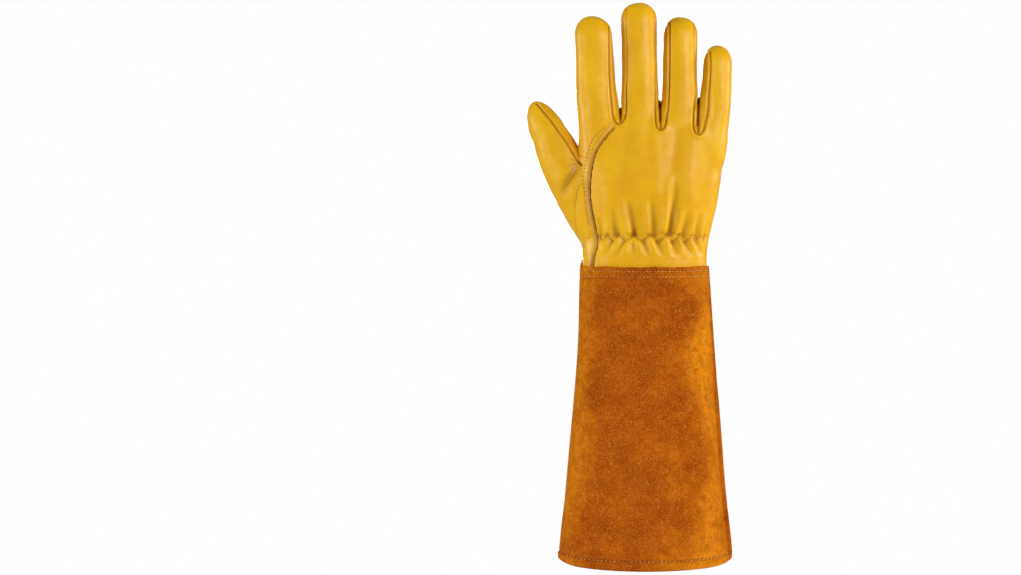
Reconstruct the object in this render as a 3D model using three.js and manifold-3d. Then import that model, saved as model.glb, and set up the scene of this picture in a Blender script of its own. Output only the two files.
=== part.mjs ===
// Long-cuffed leather gardening glove for the right hand, held open in its worn form.
// +Z runs from the cuff mouth to the fingertips, the back of the hand faces -Y, the palm faces +Y
// and the thumb is on the -X side. The origin is the middle of the cuff mouth, level with its lowest edge.
// Sizes are millimetres.
import * as THREE from 'three';
import { mergeVertices } from 'three/addons/utils/BufferGeometryUtils.js';
import Module from 'manifold-3d';

const wasm = await Module();
wasm.setup();

// Driving sizes
const HAND_LEATHER = 1.4;
const CUFF_LEATHER = 1.8;
const HEM_LEATHER = 3.2;
const WELT_HEIGHT = 1.3;
const WELT_WIDTH = 2.4;
const PATCH_HEIGHT = 1.0;
const GAP = 0.45;
const SEAM_GAP = 0.15;

// Cuff sizes
const CUFF_TOP = 245.6;
const CUFF_TOP_SLANT = 9;
const HEM_RISE = 12.8;
const HEM_RISE_POWER = 2.5;
const HEM_DEPTH = 9.5;
const SIDE_SEAM_THICKNESS = 3.4;
const SIDE_SEAM_ROUND = 0.6;

// Hand sizes
const HAND_BOTTOM = 232;
const GATHER_LINE = 269;
const GATHER_WIDTH = 3.6;
const KNUCKLE_SLOPE = -0.14;
const FRONT_SEAM = 353;

// Section shapes: 2 is an ellipse, more is squarer
const CUFF_SQUARENESS = 2.45;
const HAND_SQUARENESS = 2.4;
const FINGER_SQUARENESS = 2.4;
const THUMB_SQUARENESS = 2.3;

// How finely each form is faceted
const CUFF_SIDES = 44;
const HAND_PALM_SIDES = 22;
const HAND_BACK_SIDES = 42;
const LINING_SIDES = 28;
const FINGER_SIDES = 20;
const FINGER_LINING_SIDES = 14;
const THUMB_SIDES = 22;
const TIP_RINGS = 4;
const CUT_REACH = 80;
const FINE_WELD = 0.0001;
const CLEAN_WELD = 0.003;

// A table is a list of rows read by column name.
const table = (columns, rows) => rows.map((row) => Object.fromEntries(columns.map((name, i) => [name, row[i]])));

// The gauntlet cuff, from its mouth up to its top edge: side edges, depth and seam lip of each section
const CUFF = table(['z', 'thumbEdge', 'littleEdge', 'depth', 'lip'], [
  [0, -68.6, 68.6, 63.5, 3.4],
  [4, -69.2, 69.4, 63.8, 3.6],
  [14, -68.4, 68.8, 63, 3.8],
  [34, -66.4, 66.8, 61.6, 4],
  [74, -62.2, 63.2, 59, 4],
  [122, -58.2, 59.8, 56, 3.6],
  [170, -55.0, 56.6, 53, 2.4],
  [218, -52.6, 53.4, 51, 0.8],
  [CUFF_TOP, -51.6, 51.6, 50, 0.2],
]);

// The hand from inside the cuff up to the knuckles; slope tips a section down towards the little finger
const HAND = table(['z', 'thumbEdge', 'littleEdge', 'depth', 'y', 'slope'], [
  [HAND_BOTTOM, -49.4, 49.2, 45.6, 0, 0],
  [246, -49.2, 49.0, 45.4, 0, 0],
  [252, -49.3, 49.0, 44.8, 0.2, 0],
  [258, -50, 49.6, 43.4, 0.5, 0],
  [263, -50.4, 50, 42, 0.8, 0],
  [268, -50.8, 50.6, 40.6, 1, 0],
  [273, -51.2, 51.8, 41.2, 1, 0],
  [279, -51.6, 53.4, 42.4, 1, 0],
  [286, -52, 55, 43.2, 1, 0],
  [295, -52.5, 57.2, 43.4, 1, 0],
  [305, -53, 59, 43, 1, 0],
  [318, -53.4, 61.2, 40.6, 1, -0.02],
  [332, -53.5, 63.4, 36.8, 0.8, -0.06],
  [344, -53.4, 65.2, 32.4, 0.4, -0.1],
  [353, -53, 66.2, 28.6, 0.2, KNUCKLE_SLOPE],
  [358.5, -51, 64, 24, 0.2, KNUCKLE_SLOPE],
]);

// Gathers on the back of the wrist: each fold starts at the gather line and fades out at its end
const GATHERS = table(['startX', 'endX', 'endZ', 'height'], [
  [-30.5, -31, 290, 1.7],
  [-15, -19, 300, 1.6],
  [2, 1, 292, 1.6],
  [15.5, 13, 318, 2.0],
  [26.5, 26, 296, 1.5],
  [35.6, 36, 296, 1.5],
  [43.8, 46, 290, 1.2],
  [-30, -35, 251, 1.5],
  [-21, -27, 250, 1.5],
  [-9, -10, 250, 2.0],
  [3.5, 8.5, 251, 1.6],
  [17, 19, 249, 1.5],
  [27.5, 31, 250, 1.6],
  [37, 41, 250, 1.4],
]);

// Each finger: its base and tip centre, half widths, half depths and how far the tip leans to the palm
const FINGERS = table(
  ['name', 'baseX', 'midX', 'tipX', 'baseHalf', 'midHalf', 'tipHalf', 'depthHalf', 'tipZ', 'tipRound', 'lean'], [
    ['index', -36.6, -38.2, -41.2, 17.1, 15.9, 15.3, 13.0, 445.6, 17, 7],
    ['middle', -3.9, -4.2, -5.2, 16.6, 15.6, 14.5, 13.2, 456.8, 15, 12],
    ['ring', 27.6, 27.4, 28.3, 15.8, 14.8, 13.6, 12.7, 445.2, 15, 12],
    ['little', 50.4, 55.9, 57.8, 13.0, 12.6, 11.7, 11.3, 422, 17, 8],
  ]);
const FINGER_BASE = 336;
const FINGER_MIDDLE = 384;

// The thumb's centre line from inside the wrist to its tip
const THUMB = table(['x', 'y', 'z', 'half', 'depthHalf'], [
  [-36, 3, 271, 16.6, 15.5],
  [-42.4, 4, 283, 17.3, 16.4],
  [-48.8, 5.2, 295, 17.6, 17],
  [-58.6, 7, 313.7, 17.6, 17],
  [-67.4, 9, 332.5, 17, 16],
  [-77.2, 12, 351.2, 14.6, 14],
]);
const THUMB_TIP = { x: -89.2, y: 16, z: 377.4 };
const THUMB_TIP_ROUND = 0.86;

// Seam routes on the hand, as x and z
const BACK_SEAM = table(['x', 'z'], [
  [-26.5, 356], [-33.2, 348], [-38, 338.4], [-42, 328.8], [-43.6, 314.4], [-43.6, 302.4],
  [-42, 290.4], [-39.6, 278.4], [-37.6, 268], [-38, 262.4], [-40, 253.5], [-41.6, 248],
]);
const THUMB_PALM_SEAM = table(['x', 'z'], [
  [-54.2, 346], [-49.5, 340], [-43.6, 332], [-38.8, 320.8], [-32.4, 310.4], [-29.2, 298.4],
  [-28.4, 288.8], [-30.8, 279.2], [-36.4, 271.2], [-43.6, 265.6], [-53, 262],
]);
const THUMB_BACK_SEAM = table(['x', 'z'], [
  [-54.2, 346], [-50.5, 337], [-49.2, 326.4], [-51, 314], [-54, 303], [-55.6, 292], [-56, 279], [-56, 262],
]);
const PATCH_EDGE = table(['x', 'z'], [
  [-40, 333], [-32.4, 332], [-26, 328.6], [-22, 322.4], [-19.6, 315.2], [-18.8, 306], [-19.2, 296],
  [-21.5, 286], [-26, 277], [-31.6, 270.4],
]);
const PATCH_INSET = 3.2;

// The strip of back leather that runs up each middle finger, from the crotches to the tip
const MIDDLE_BACK_STRIP = table(['x', 'z'], [
  [-20.8, 340], [-20.6, 358.6], [-17.2, 361.3], [-15.2, 366], [-14.4, 373], [-14.4, 436], [-11.5, 447],
  [-5, 451.5], [2, 447], [5.6, 436], [8.8, 389], [8.8, 361], [10.2, 355.6], [12.2, 353.6], [12.2, 340],
]);
const RING_BACK_STRIP = table(['x', 'z'], [
  [12.2, 340], [12.2, 353.6], [16.2, 357.4], [17.8, 364], [18.8, 373], [20.2, 424], [22.5, 436],
  [28, 440.5], [34, 436], [38.4, 424], [40.4, 389], [38.8, 361], [39.8, 354.4], [42.4, 350.6], [42.4, 340],
]);

// Colours of the leathers
const GRAIN_YELLOW = '#dba41c';
const RAW_EDGE = '#cf9a56';
const SUEDE_BROWN = '#b4620f';

const lerp = THREE.MathUtils.lerp;
const signedPower = (value, power) => Math.sign(value) * Math.abs(value) ** power;

// Turns a three.js geometry into a solid; points closer than the weld become one.
function solidFrom(geometry, weld = FINE_WELD) {
  geometry.deleteAttribute('normal');
  geometry.deleteAttribute('uv');
  const merged = mergeVertices(geometry, weld);
  return new wasm.Manifold(new wasm.Mesh({
    numProp: 3,
    vertProperties: new Float32Array(merged.attributes.position.array),
    triVerts: new Uint32Array(merged.index.array),
  }));
}

// Turns a solid back into a three.js geometry.
function geometryFrom(solid) {
  const mesh = solid.getMesh();
  const geometry = new THREE.BufferGeometry();
  geometry.setAttribute('position', new THREE.Float32BufferAttribute(mesh.vertProperties, 3));
  geometry.setIndex(new THREE.Uint32BufferAttribute(mesh.triVerts, 1));
  return geometry;
}

// Closes a stack of rings into one solid. Each ring is a list of points, seen anticlockwise from the last ring.
function loft(rings) {
  const sides = rings[0].length;
  const points = rings.flat();
  const faces = [];
  for (let i = 0; i + 1 < rings.length; i += 1) {
    for (let j = 0; j < sides; j += 1) {
      const next = (j + 1) % sides;
      const [a, b] = [i * sides + j, i * sides + next];
      const [c, d] = [a + sides, b + sides];
      faces.push(a, b, d, a, d, c);
    }
  }
  const middleOf = (ring) => ring.reduce((sum, p) => sum.add(p), new THREE.Vector3()).divideScalar(sides);
  const lastStart = (rings.length - 1) * sides;
  const bottom = points.push(middleOf(rings[0])) - 1;
  const top = points.push(middleOf(rings[rings.length - 1])) - 1;
  for (let j = 0; j < sides; j += 1) {
    const next = (j + 1) % sides;
    faces.push(bottom, next, j, top, lastStart + j, lastStart + next);
  }
  const geometry = new THREE.BufferGeometry();
  geometry.setAttribute('position', new THREE.Float32BufferAttribute(points.flatMap((p) => p.toArray()), 3));
  geometry.setIndex(faces);
  return solidFrom(geometry);
}

// Unit superellipse points: +X first, then the palm (+Y), the thumb side and the back.
function sectionShape(palmSides, backSides, squareness) {
  const shape = [];
  for (let i = 0; i < palmSides + backSides; i += 1) {
    const angle = i < palmSides ? (Math.PI * i) / palmSides : Math.PI * (1 + (i - palmSides) / backSides);
    shape.push({
      across: signedPower(Math.cos(angle), 2 / squareness),
      out: signedPower(Math.sin(angle), 2 / squareness),
    });
  }
  return shape;
}

// A solid from an outline in x and z, as thick as the given y range.
function prism(outline, lowY, highY) {
  const shape = new THREE.Shape(outline.map((p) => new THREE.Vector2(p.x, p.z)));
  const geometry = new THREE.ExtrudeGeometry(shape, { depth: highY - lowY, bevelEnabled: false, steps: 1 });
  geometry.rotateX(Math.PI / 2);
  geometry.translate(0, highY, 0);
  return solidFrom(geometry);
}

// The same route moved sideways, to its left as it is walked.
function moveRoute(route, distance) {
  return route.map((point, i) => {
    const before = route[Math.max(i - 1, 0)];
    const after = route[Math.min(i + 1, route.length - 1)];
    const run = new THREE.Vector2(after.x - before.x, after.z - before.z).normalize();
    return { x: point.x - run.y * distance, z: point.z + run.x * distance };
  });
}

// Grows a closed outline on all sides; it is walked clockwise.
function growOutline(outline, distance) {
  const closed = [outline[outline.length - 1], ...outline, outline[0]];
  return moveRoute(closed, distance).slice(1, -1);
}

// How far the gathers lift the leather at a point of the wrist's back
function gatherLift(x, z) {
  let lift = 0;
  for (const fold of GATHERS) {
    const along = (z - GATHER_LINE) / (fold.endZ - GATHER_LINE);
    if (along < 0 || along > 1) continue;
    const away = (x - lerp(fold.startX, fold.endX, along)) / GATHER_WIDTH;
    lift += fold.height * (1 - along) ** 0.8 * Math.exp(-away * away);
  }
  return lift;
}

// The hand up to the knuckles, grown by some distance, or shrunk for the hollow inside it
function handForm(grow) {
  const isHollow = grow < 0;
  const shape = isHollow
    ? sectionShape(LINING_SIDES / 2, LINING_SIDES / 2, HAND_SQUARENESS)
    : sectionShape(HAND_PALM_SIDES, HAND_BACK_SIDES, HAND_SQUARENESS);
  const rings = HAND.map((row) => {
    const centre = (row.thumbEdge + row.littleEdge) / 2;
    const half = (row.littleEdge - row.thumbEdge) / 2 + grow;
    const isBottom = row.z === HAND_BOTTOM;
    const bottomDrop = isHollow && isBottom ? grow * 2 : 0;
    return shape.map(({ across, out }) => {
      const x = centre + half * across;
      const lift = isHollow || out > 0 ? 0 : gatherLift(x, row.z) * Math.min(1, -2 * out);
      const y = row.y + (row.depth / 2 + grow) * out - lift;
      return new THREE.Vector3(x, y, row.z + row.slope * (x - centre) + bottomDrop);
    });
  });
  return loft(rings);
}

// One finger, with straight sides and a domed tip
function fingerForm(finger, grow) {
  const sides = grow < 0 ? FINGER_LINING_SIDES : FINGER_SIDES;
  const shape = sectionShape(sides / 2, sides / 2, FINGER_SQUARENESS);
  const domeStart = finger.tipZ - finger.tipRound;
  const stops = [
    { z: FINGER_BASE, half: finger.baseHalf },
    { z: FRONT_SEAM + 9, half: finger.baseHalf - 0.5 },
    { z: FINGER_MIDDLE, half: finger.midHalf },
    { z: (FINGER_MIDDLE + domeStart) / 2, half: (finger.midHalf + finger.tipHalf) / 2 },
    { z: domeStart, half: finger.tipHalf },
  ];
  for (let i = 1; i <= TIP_RINGS; i += 1) {
    const angle = (Math.PI / 2) * Math.min(i / TIP_RINGS, 0.96);
    stops.push({ z: domeStart + (finger.tipRound + grow) * Math.sin(angle), half: finger.tipHalf, angle });
  }
  const rings = stops.map((stop) => {
    const along = (stop.z - FINGER_BASE) / (finger.tipZ - FINGER_BASE);
    const isLow = stop.z < FINGER_MIDDLE;
    const centre = isLow
      ? lerp(finger.baseX, finger.midX, (stop.z - FINGER_BASE) / (FINGER_MIDDLE - FINGER_BASE))
      : lerp(finger.midX, finger.tipX, (stop.z - FINGER_MIDDLE) / (finger.tipZ - FINGER_MIDDLE));
    const shrink = stop.angle ? Math.cos(stop.angle) : 1;
    const half = (stop.half + grow) * shrink;
    const depth = (finger.depthHalf * (1 - 0.1 * along) + grow) * shrink;
    const y = finger.lean * along ** 1.7;
    return shape.map(({ across, out }) => new THREE.Vector3(centre + half * across, y + depth * out, stop.z));
  });
  return loft(rings);
}

// The thumb: sections square to its own centre line, and a domed tip
function thumbForm(grow) {
  const sides = grow < 0 ? FINGER_LINING_SIDES : THUMB_SIDES;
  const shape = sectionShape(sides / 2, sides / 2, THUMB_SQUARENESS);
  const last = THUMB[THUMB.length - 1];
  const stops = THUMB.map((row) => ({ ...row, half: row.half + grow, depthHalf: row.depthHalf + grow }));
  for (let i = 1; i <= TIP_RINGS; i += 1) {
    const angle = (Math.PI / 2) * Math.min(i / TIP_RINGS, 0.96);
    const along = Math.sin(angle) * (1 + grow / (THUMB_TIP.z - last.z));
    const shrink = Math.cos(angle) ** THUMB_TIP_ROUND;
    stops.push({
      x: lerp(last.x, THUMB_TIP.x, along),
      y: lerp(last.y, THUMB_TIP.y, along),
      z: lerp(last.z, THUMB_TIP.z, along),
      half: (last.half + grow) * shrink,
      depthHalf: (last.depthHalf + grow) * shrink,
    });
  }
  const rings = stops.map((stop, i) => {
    const before = stops[Math.max(i - 1, 0)];
    const after = stops[Math.min(i + 1, stops.length - 1)];
    const run = new THREE.Vector3(after.x - before.x, 0, after.z - before.z).normalize();
    const acrossAxis = new THREE.Vector3(run.z, 0, -run.x);
    return shape.map(({ across, out }) => new THREE.Vector3(stop.x, stop.y + stop.depthHalf * out, stop.z)
      .addScaledVector(acrossAxis, stop.half * across));
  });
  return loft(rings);
}

// Hand, fingers and thumb as one form
function gloveForm(grow) {
  return FINGERS.reduce((form, finger) => form.add(fingerForm(finger, grow)), handForm(grow)).add(thumbForm(grow));
}

// Where the thumb's leather lies: inside the palm seam in front, and inside the back seam behind
function thumbRegion(grow) {
  const outside = table(['x', 'z'], [[-120, 262], [-120, 400], [-54.2, 400]]);
  const front = prism(growOutline([...THUMB_PALM_SEAM, ...outside], grow), 0, CUT_REACH);
  const back = prism(growOutline([...THUMB_BACK_SEAM, ...outside], grow), -CUT_REACH, 0.01);
  return front.add(back);
}

// Where a middle finger's set-in front lies: the whole finger above the base seam, less the strip of back leather
function frontRegion(lowX, highX, backStrip, grow) {
  const block = table(['x', 'z'], [[lowX, FRONT_SEAM], [lowX, 470], [highX, 470], [highX, FRONT_SEAM]]);
  const strip = prism(growOutline(backStrip, -grow), -CUT_REACH, 2);
  return prism(growOutline(block, grow), -CUT_REACH, CUT_REACH).subtract(strip);
}

// The largest body of a solid, without the slivers that a cut may leave
function mainBody(solid) {
  const welded = solidFrom(geometryFrom(solid), CLEAN_WELD);
  return welded.decompose().sort((a, b) => b.volume() - a.volume())[0];
}

// A skin that lies just over the glove between two outlines' edges, as high as the given leather
function overlay(outline, height, lowY, highY) {
  const skin = gloveForm(GAP + height).subtract(gloveForm(GAP));
  return mainBody(skin.intersect(prism(outline, lowY, highY)));
}

// A welt of the given width on the left of a seam route
function welt(route, inset, lowY, highY) {
  const near = moveRoute(route, inset);
  const far = moveRoute(route, inset + WELT_WIDTH).reverse();
  return overlay([...near, ...far], WELT_HEIGHT, lowY, highY);
}

// The crescent patch beside the thumb's palm seam
function thumbPatch() {
  const inner = moveRoute(THUMB_PALM_SEAM.slice(3, 9), PATCH_INSET).reverse();
  return overlay([...PATCH_EDGE, ...inner], PATCH_HEIGHT, 0, CUT_REACH);
}

// How much higher a point of the cuff lies than its section: the hem rises to the sides, the palm's top slants
function cuffRise(row, across, out) {
  const nearHem = Math.max(0, 1 - row.z / (HEM_RISE * 4));
  const nearTop = Math.max(0, (row.z - 170) / (CUFF_TOP - 170));
  const hem = HEM_RISE * Math.abs(across) ** HEM_RISE_POWER * nearHem;
  const slant = CUFF_TOP_SLANT * nearTop * Math.min(1, Math.max(0, out) * 1.6) * (0.5 - across / 2);
  return hem + slant;
}

// The cuff's outer or inner form; wallAt gives the wall that is taken off at a height
function cuffForm(wallAt) {
  const shape = sectionShape(CUFF_SIDES / 2, CUFF_SIDES / 2, CUFF_SQUARENESS);
  const rings = CUFF.map((row, i) => {
    const tubeEdge = row.littleEdge - row.lip;
    const centre = (row.thumbEdge + tubeEdge) / 2;
    const wall = wallAt(row.z);
    const half = (tubeEdge - row.thumbEdge) / 2 - wall;
    const isEnd = i === 0 || i === CUFF.length - 1;
    const past = isEnd && wall > 0 ? (i === 0 ? -2 : 2) : 0;
    return shape.map(({ across, out }) => new THREE.Vector3(
      centre + half * across,
      (row.depth / 2 - wall) * out,
      row.z + cuffRise(row, across, out) + past,
    ));
  });
  return loft(rings);
}

// The lip where the cuff's two edges are sewn together along the little finger side
function sideSeamLip() {
  const halfThickness = SIDE_SEAM_THICKNESS / 2;
  const rings = CUFF.map((row) => {
    const z = row.z + cuffRise(row, 1, 0);
    const root = row.littleEdge - row.lip - CUFF_LEATHER;
    return [
      new THREE.Vector3(row.littleEdge - SIDE_SEAM_ROUND, halfThickness, z),
      new THREE.Vector3(root, halfThickness, z),
      new THREE.Vector3(root, -halfThickness, z),
      new THREE.Vector3(row.littleEdge - SIDE_SEAM_ROUND, -halfThickness, z),
      new THREE.Vector3(row.littleEdge, 0, z),
    ];
  });
  return loft(rings);
}

// The gauntlet cuff: a suede tube with a turned hem and a sewn side seam
function cuff() {
  const wallAt = (z) => (z < HEM_DEPTH ? HEM_LEATHER : CUFF_LEATHER);
  return mainBody(cuffForm(() => 0).add(sideSeamLip()).subtract(cuffForm(wallAt)));
}

// A named mesh of one solid in its own leather
function piece(name, solid, colour, roughness) {
  const geometry = geometryFrom(solid);
  geometry.computeVertexNormals();
  const material = new THREE.MeshStandardMaterial({ color: colour, roughness, metalness: 0 });
  const part = new THREE.Mesh(geometry, material);
  part.name = name;
  return part;
}

const shell = gloveForm(0).subtract(gloveForm(-HAND_LEATHER));
const middleEdges = [-20.7, 12.2];
const ringEdges = [12.2, 42.6];
const handShell = shell
  .subtract(thumbRegion(SEAM_GAP))
  .subtract(frontRegion(...middleEdges, MIDDLE_BACK_STRIP, SEAM_GAP))
  .subtract(frontRegion(...ringEdges, RING_BACK_STRIP, SEAM_GAP));

const glove = new THREE.Group();
glove.add(
  piece('hand_shell', mainBody(handShell), GRAIN_YELLOW, 0.45),
  piece('middle_finger_front', mainBody(shell.intersect(
    frontRegion(...middleEdges, MIDDLE_BACK_STRIP, -SEAM_GAP),
  )), GRAIN_YELLOW, 0.45),
  piece('ring_finger_front', mainBody(shell.intersect(
    frontRegion(...ringEdges, RING_BACK_STRIP, -SEAM_GAP),
  )), GRAIN_YELLOW, 0.45),
  piece('thumb', mainBody(shell.intersect(thumbRegion(-SEAM_GAP))), GRAIN_YELLOW, 0.45),
  piece('thumb_patch', thumbPatch(), GRAIN_YELLOW, 0.5),
  piece('back_seam_welt', welt(BACK_SEAM, -WELT_WIDTH, -CUT_REACH, 0), RAW_EDGE, 0.7),
  piece('thumb_seam_welt', welt(THUMB_PALM_SEAM.slice(2, 10), 0, 0, CUT_REACH), RAW_EDGE, 0.7),
  piece('gauntlet_cuff', cuff(), SUEDE_BROWN, 0.9),
);

export default glove;
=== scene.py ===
import math
from functools import cache

import bpy
import numpy as np
from bpy.props import FloatProperty, FloatVectorProperty, PointerProperty
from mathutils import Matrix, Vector


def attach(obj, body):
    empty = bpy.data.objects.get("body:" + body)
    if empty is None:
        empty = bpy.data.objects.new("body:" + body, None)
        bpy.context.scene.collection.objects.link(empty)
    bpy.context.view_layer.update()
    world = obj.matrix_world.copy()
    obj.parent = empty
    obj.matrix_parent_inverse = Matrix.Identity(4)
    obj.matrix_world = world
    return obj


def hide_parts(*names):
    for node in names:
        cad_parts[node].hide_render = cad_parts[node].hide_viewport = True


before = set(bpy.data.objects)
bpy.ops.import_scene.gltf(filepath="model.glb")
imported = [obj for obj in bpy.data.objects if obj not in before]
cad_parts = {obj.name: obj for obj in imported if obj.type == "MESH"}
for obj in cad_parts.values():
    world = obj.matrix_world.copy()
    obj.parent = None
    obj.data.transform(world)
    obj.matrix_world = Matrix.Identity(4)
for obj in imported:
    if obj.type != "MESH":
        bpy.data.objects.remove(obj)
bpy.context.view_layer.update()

bl_info = {
    "name": "Long-cuffed leather gardening glove",
    "version": (1, 0, 0),
    "blender": (4, 5, 0),
    "location": "3D View > Sidebar > Glove",
    "description": "Dresses the glove's frame with grain leather, suede and stitching",
    "category": "Object",
}

MM = 0.001


def linear(text):
    """An sRGB hex colour as linear red, green and blue: the sRGB curve undone, channel by channel."""
    channels = [int(text[i:i + 2], 16) / 255 for i in (1, 3, 5)]
    return tuple(c / 12.92 if c <= 0.04045 else ((c + 0.055) / 1.055) ** 2.4 for c in channels)


# Sizes and colours that a user may change

class GloveSizes(bpy.types.PropertyGroup):
    hand_wall: FloatProperty(
        name="Hand leather", description="Thickness of the grain leather",
        default=1.3 * MM, min=0.5 * MM, max=3 * MM, unit="LENGTH")
    cuff_wall: FloatProperty(
        name="Cuff leather", description="Thickness of the suede",
        default=1.7 * MM, min=0.5 * MM, max=3 * MM, unit="LENGTH")
    groove_depth: FloatProperty(
        name="Seam depth", description="How deep a turned seam sinks between its two leathers",
        default=1.3 * MM, min=0, max=3 * MM, unit="LENGTH")
    stitch_gap: FloatProperty(
        name="Stitch pitch", description="Distance from one stitch to the next",
        default=3.1 * MM, min=1.5 * MM, max=8 * MM, unit="LENGTH")


class GloveColours(bpy.types.PropertyGroup):
    grain: FloatVectorProperty(
        name="Grain leather", description="Main colour of the yellow grain leather",
        default=linear("#e6a906"), size=3, min=0, max=1, subtype="COLOR")
    grain_pale: FloatVectorProperty(
        name="Pale grain", description="Colour of the stretched, paler leather",
        default=linear("#eeb80e"), size=3, min=0, max=1, subtype="COLOR")
    # Painted shade: the colour that seams, slits, creases, furrows and the elastic's line are darkened towards
    painted_shade_colour: FloatVectorProperty(
        name="Dark grain", description="Colour of the leather in the folds and seams",
        default=linear("#7d4204"), size=3, min=0, max=1, subtype="COLOR")
    raw_edge: FloatVectorProperty(
        name="Raw edge", description="Colour of the cut leather edge",
        default=linear("#eab868"), size=3, min=0, max=1, subtype="COLOR")
    suede: FloatVectorProperty(
        name="Suede", description="Main colour of the cuff's suede",
        default=linear("#c8640e"), size=3, min=0, max=1, subtype="COLOR")
    # Also the colour of the painted sheen near the cuff's edges
    suede_pale_and_sheen: FloatVectorProperty(
        name="Pale suede", description="Colour of the brushed, paler nap",
        default=linear("#ea8e0c"), size=3, min=0, max=1, subtype="COLOR")
    thread: FloatVectorProperty(
        name="Thread", description="Colour of the sewing thread",
        default=linear("#e8b25c"), size=3, min=0, max=1, subtype="COLOR")


# Tables of the glove's form, in millimetres

def table(columns, rows):
    """One array for each named column."""
    return {name: np.array(values, float) for name, values in zip(columns.split(), zip(*rows))}


CUFF = table("z thumb_edge little_edge depth", [
    (0, -68.2, 69.4, 63.5), (4, -68.6, 70.2, 63.8), (14, -68, 69.8, 63), (34, -66.4, 68.2, 61.6),
    (74, -62.2, 64.4, 59), (122, -58.2, 60.8, 56), (170, -55, 56.8, 53), (218, -52.6, 53.4, 51),
    (245.6, -51.6, 51.6, 50),
])
# How far the back and the palm layer stop short of the sewn edge on the little finger side
SIDE_SEAM = table("z back_short palm_short", [
    (0, 0.2, 0), (30, 0.3, 0), (52, 2.2, 0), (78, 3.4, 0), (112, 3.4, 0), (140, 1.2, 0), (165, 0, 0.4),
    (186, 0, 2), (222, 0, 2.2), (246, 0, 0.6),
])
HAND = table("z thumb_edge little_edge depth y slope", [
    (226, -49.6, 49.6, 45.6, 0, 0), (246, -49.2, 49.8, 45.4, 0, 0), (252, -49.3, 50.0, 44.8, 0.2, 0),
    (258, -50, 50.4, 43.4, 0.5, 0), (263, -50.4, 51, 42, 0.8, 0), (268, -50.8, 51.8, 40.6, 1, 0),
    (273, -51.2, 53, 41.2, 1, 0), (279, -51.6, 54.4, 42.4, 1, 0), (286, -52, 55.8, 43.2, 1, 0),
    (295, -52.5, 57.6, 43.4, 1, 0), (305, -53, 59.2, 43, 1, 0), (318, -53.4, 61.4, 40.6, 1, -0.02),
    (332, -53, 61.6, 36.8, 0.8, -0.06), (344, -51.8, 63.4, 32.4, 0.4, -0.1), (353, -51.2, 65.2, 29.4, 0.2, -0.12),
    (366, -48.6, 65, 27, 0.2, -0.12),
])
FINGERS = table("base_x root_x mid_x tip_x base_half root_half mid_half tip_half depth_half tip_z tip_round lean", [
    (-35.3, -36.5, -38.9, -41.5, 16.5, 16.7, 15.6, 15.1, 13.0, 445.6, 17, 7),
    (-3.6, -3.4, -3.8, -4.5, 17.2, 15.7, 14.4, 14.2, 13.2, 456.8, 15, 12),
    (28.0, 27.5, 28.3, 29.5, 16.7, 15.7, 13.9, 13.3, 12.7, 445.2, 16, 12),
    (51.6, 55.1, 57.8, 59.2, 13.2, 13.4, 11.9, 11.5, 11.3, 422.6, 17, 8),
])
THUMB = table("x y z half depth_half", [
    (-36, 3, 271, 16.6, 15.5), (-42.4, 4, 283, 17.3, 16.4), (-48.8, 5.2, 295, 17.6, 17),
    (-59, 7, 313.7, 17.8, 17), (-67.6, 9, 332.5, 17, 16), (-76.6, 12, 351.6, 14.2, 13.6),
])
THUMB_TIP = (-88.4, 16, 377.2)
FINGER_BASE, FINGER_ROOT, FINGER_MIDDLE = 336, 368, 390
INDEX, MIDDLE, RING, LITTLE = range(4)

# Routes on the leather, as x and z
BACK_SEAM = [
    (-24.4, 358), (-29.2, 352.4), (-34, 346.8), (-39.4, 338.4), (-42.6, 328.8), (-44.8, 314.4), (-45.2, 302.4),
    (-43.8, 291), (-41.6, 279.8), (-39.4, 268.6), (-39, 263), (-40, 258), (-42, 250), (-43, 242),
]
BACK_STITCHES = [
    (-31.6, 356.4), (-38.8, 350.2), (-43, 342.6), (-46.4, 331), (-48.2, 318), (-48.4, 306), (-47.4, 295),
    (-45.8, 283), (-44.2, 272), (-43.8, 264),
]
THUMB_PALM_SEAM = [
    (-54.6, 348), (-51.5, 341), (-43.6, 332), (-38.8, 320.8), (-32.4, 310.4), (-29.2, 298.4),
    (-28.4, 288.8), (-30.8, 279.2), (-36.4, 271.2), (-43.6, 265.6), (-53, 262),
]
THUMB_BACK_SEAM = [
    (-54.6, 348), (-51.5, 341), (-49.8, 334), (-49.4, 326.4), (-51, 314), (-54, 303), (-55.4, 292), (-55.4, 284),
    (-54.6, 275), (-52.8, 267), (-50.8, 263), (-48.5, 261.5),
]
THUMB_INNER_SEAM = [
    (-86.5, 376), (-80.9, 369.4), (-76.1, 363.4), (-69.6, 354.2), (-63, 345.6), (-57.8, 336.8), (-54, 330.4),
    (-50.5, 326),
]
PATCH_EDGE = [
    (-40, 333), (-32.4, 332), (-26, 328.6), (-22, 322.4), (-19.6, 315.2), (-18.8, 306), (-19.2, 296),
    (-21.5, 286), (-26, 277), (-31.6, 270.4),
]
INDEX_SEAM = [
    (-28.6, 446), (-28.6, 427), (-28.4, 408.8), (-27.6, 390.4), (-26.7, 378.4), (-25.8, 368), (-24.9, 363.4),
    (-23.6, 360.6), (-22, 359.2), (-20.8, 358.9),
]
MIDDLE_LEFT = [
    (-20.8, 358.9), (-19.6, 359.2), (-17.8, 360.8), (-16.2, 363.8), (-15.2, 368), (-14.6, 374), (-14.8, 390),
    (-14.6, 436), (-14, 462),
]
MIDDLE_RIGHT = [
    (7.4, 462), (8.2, 436), (8.7, 389), (8.5, 366), (8.7, 360.4), (9.5, 356.4), (11.2, 354.2), (12.4, 353.9),
]
RING_LEFT = [
    (12.4, 353.9), (13.6, 354.2), (15.6, 356.4), (16.8, 360.4), (17.7, 366), (18.6, 373), (19.4, 394), (20, 424),
    (20, 462),
]
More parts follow.
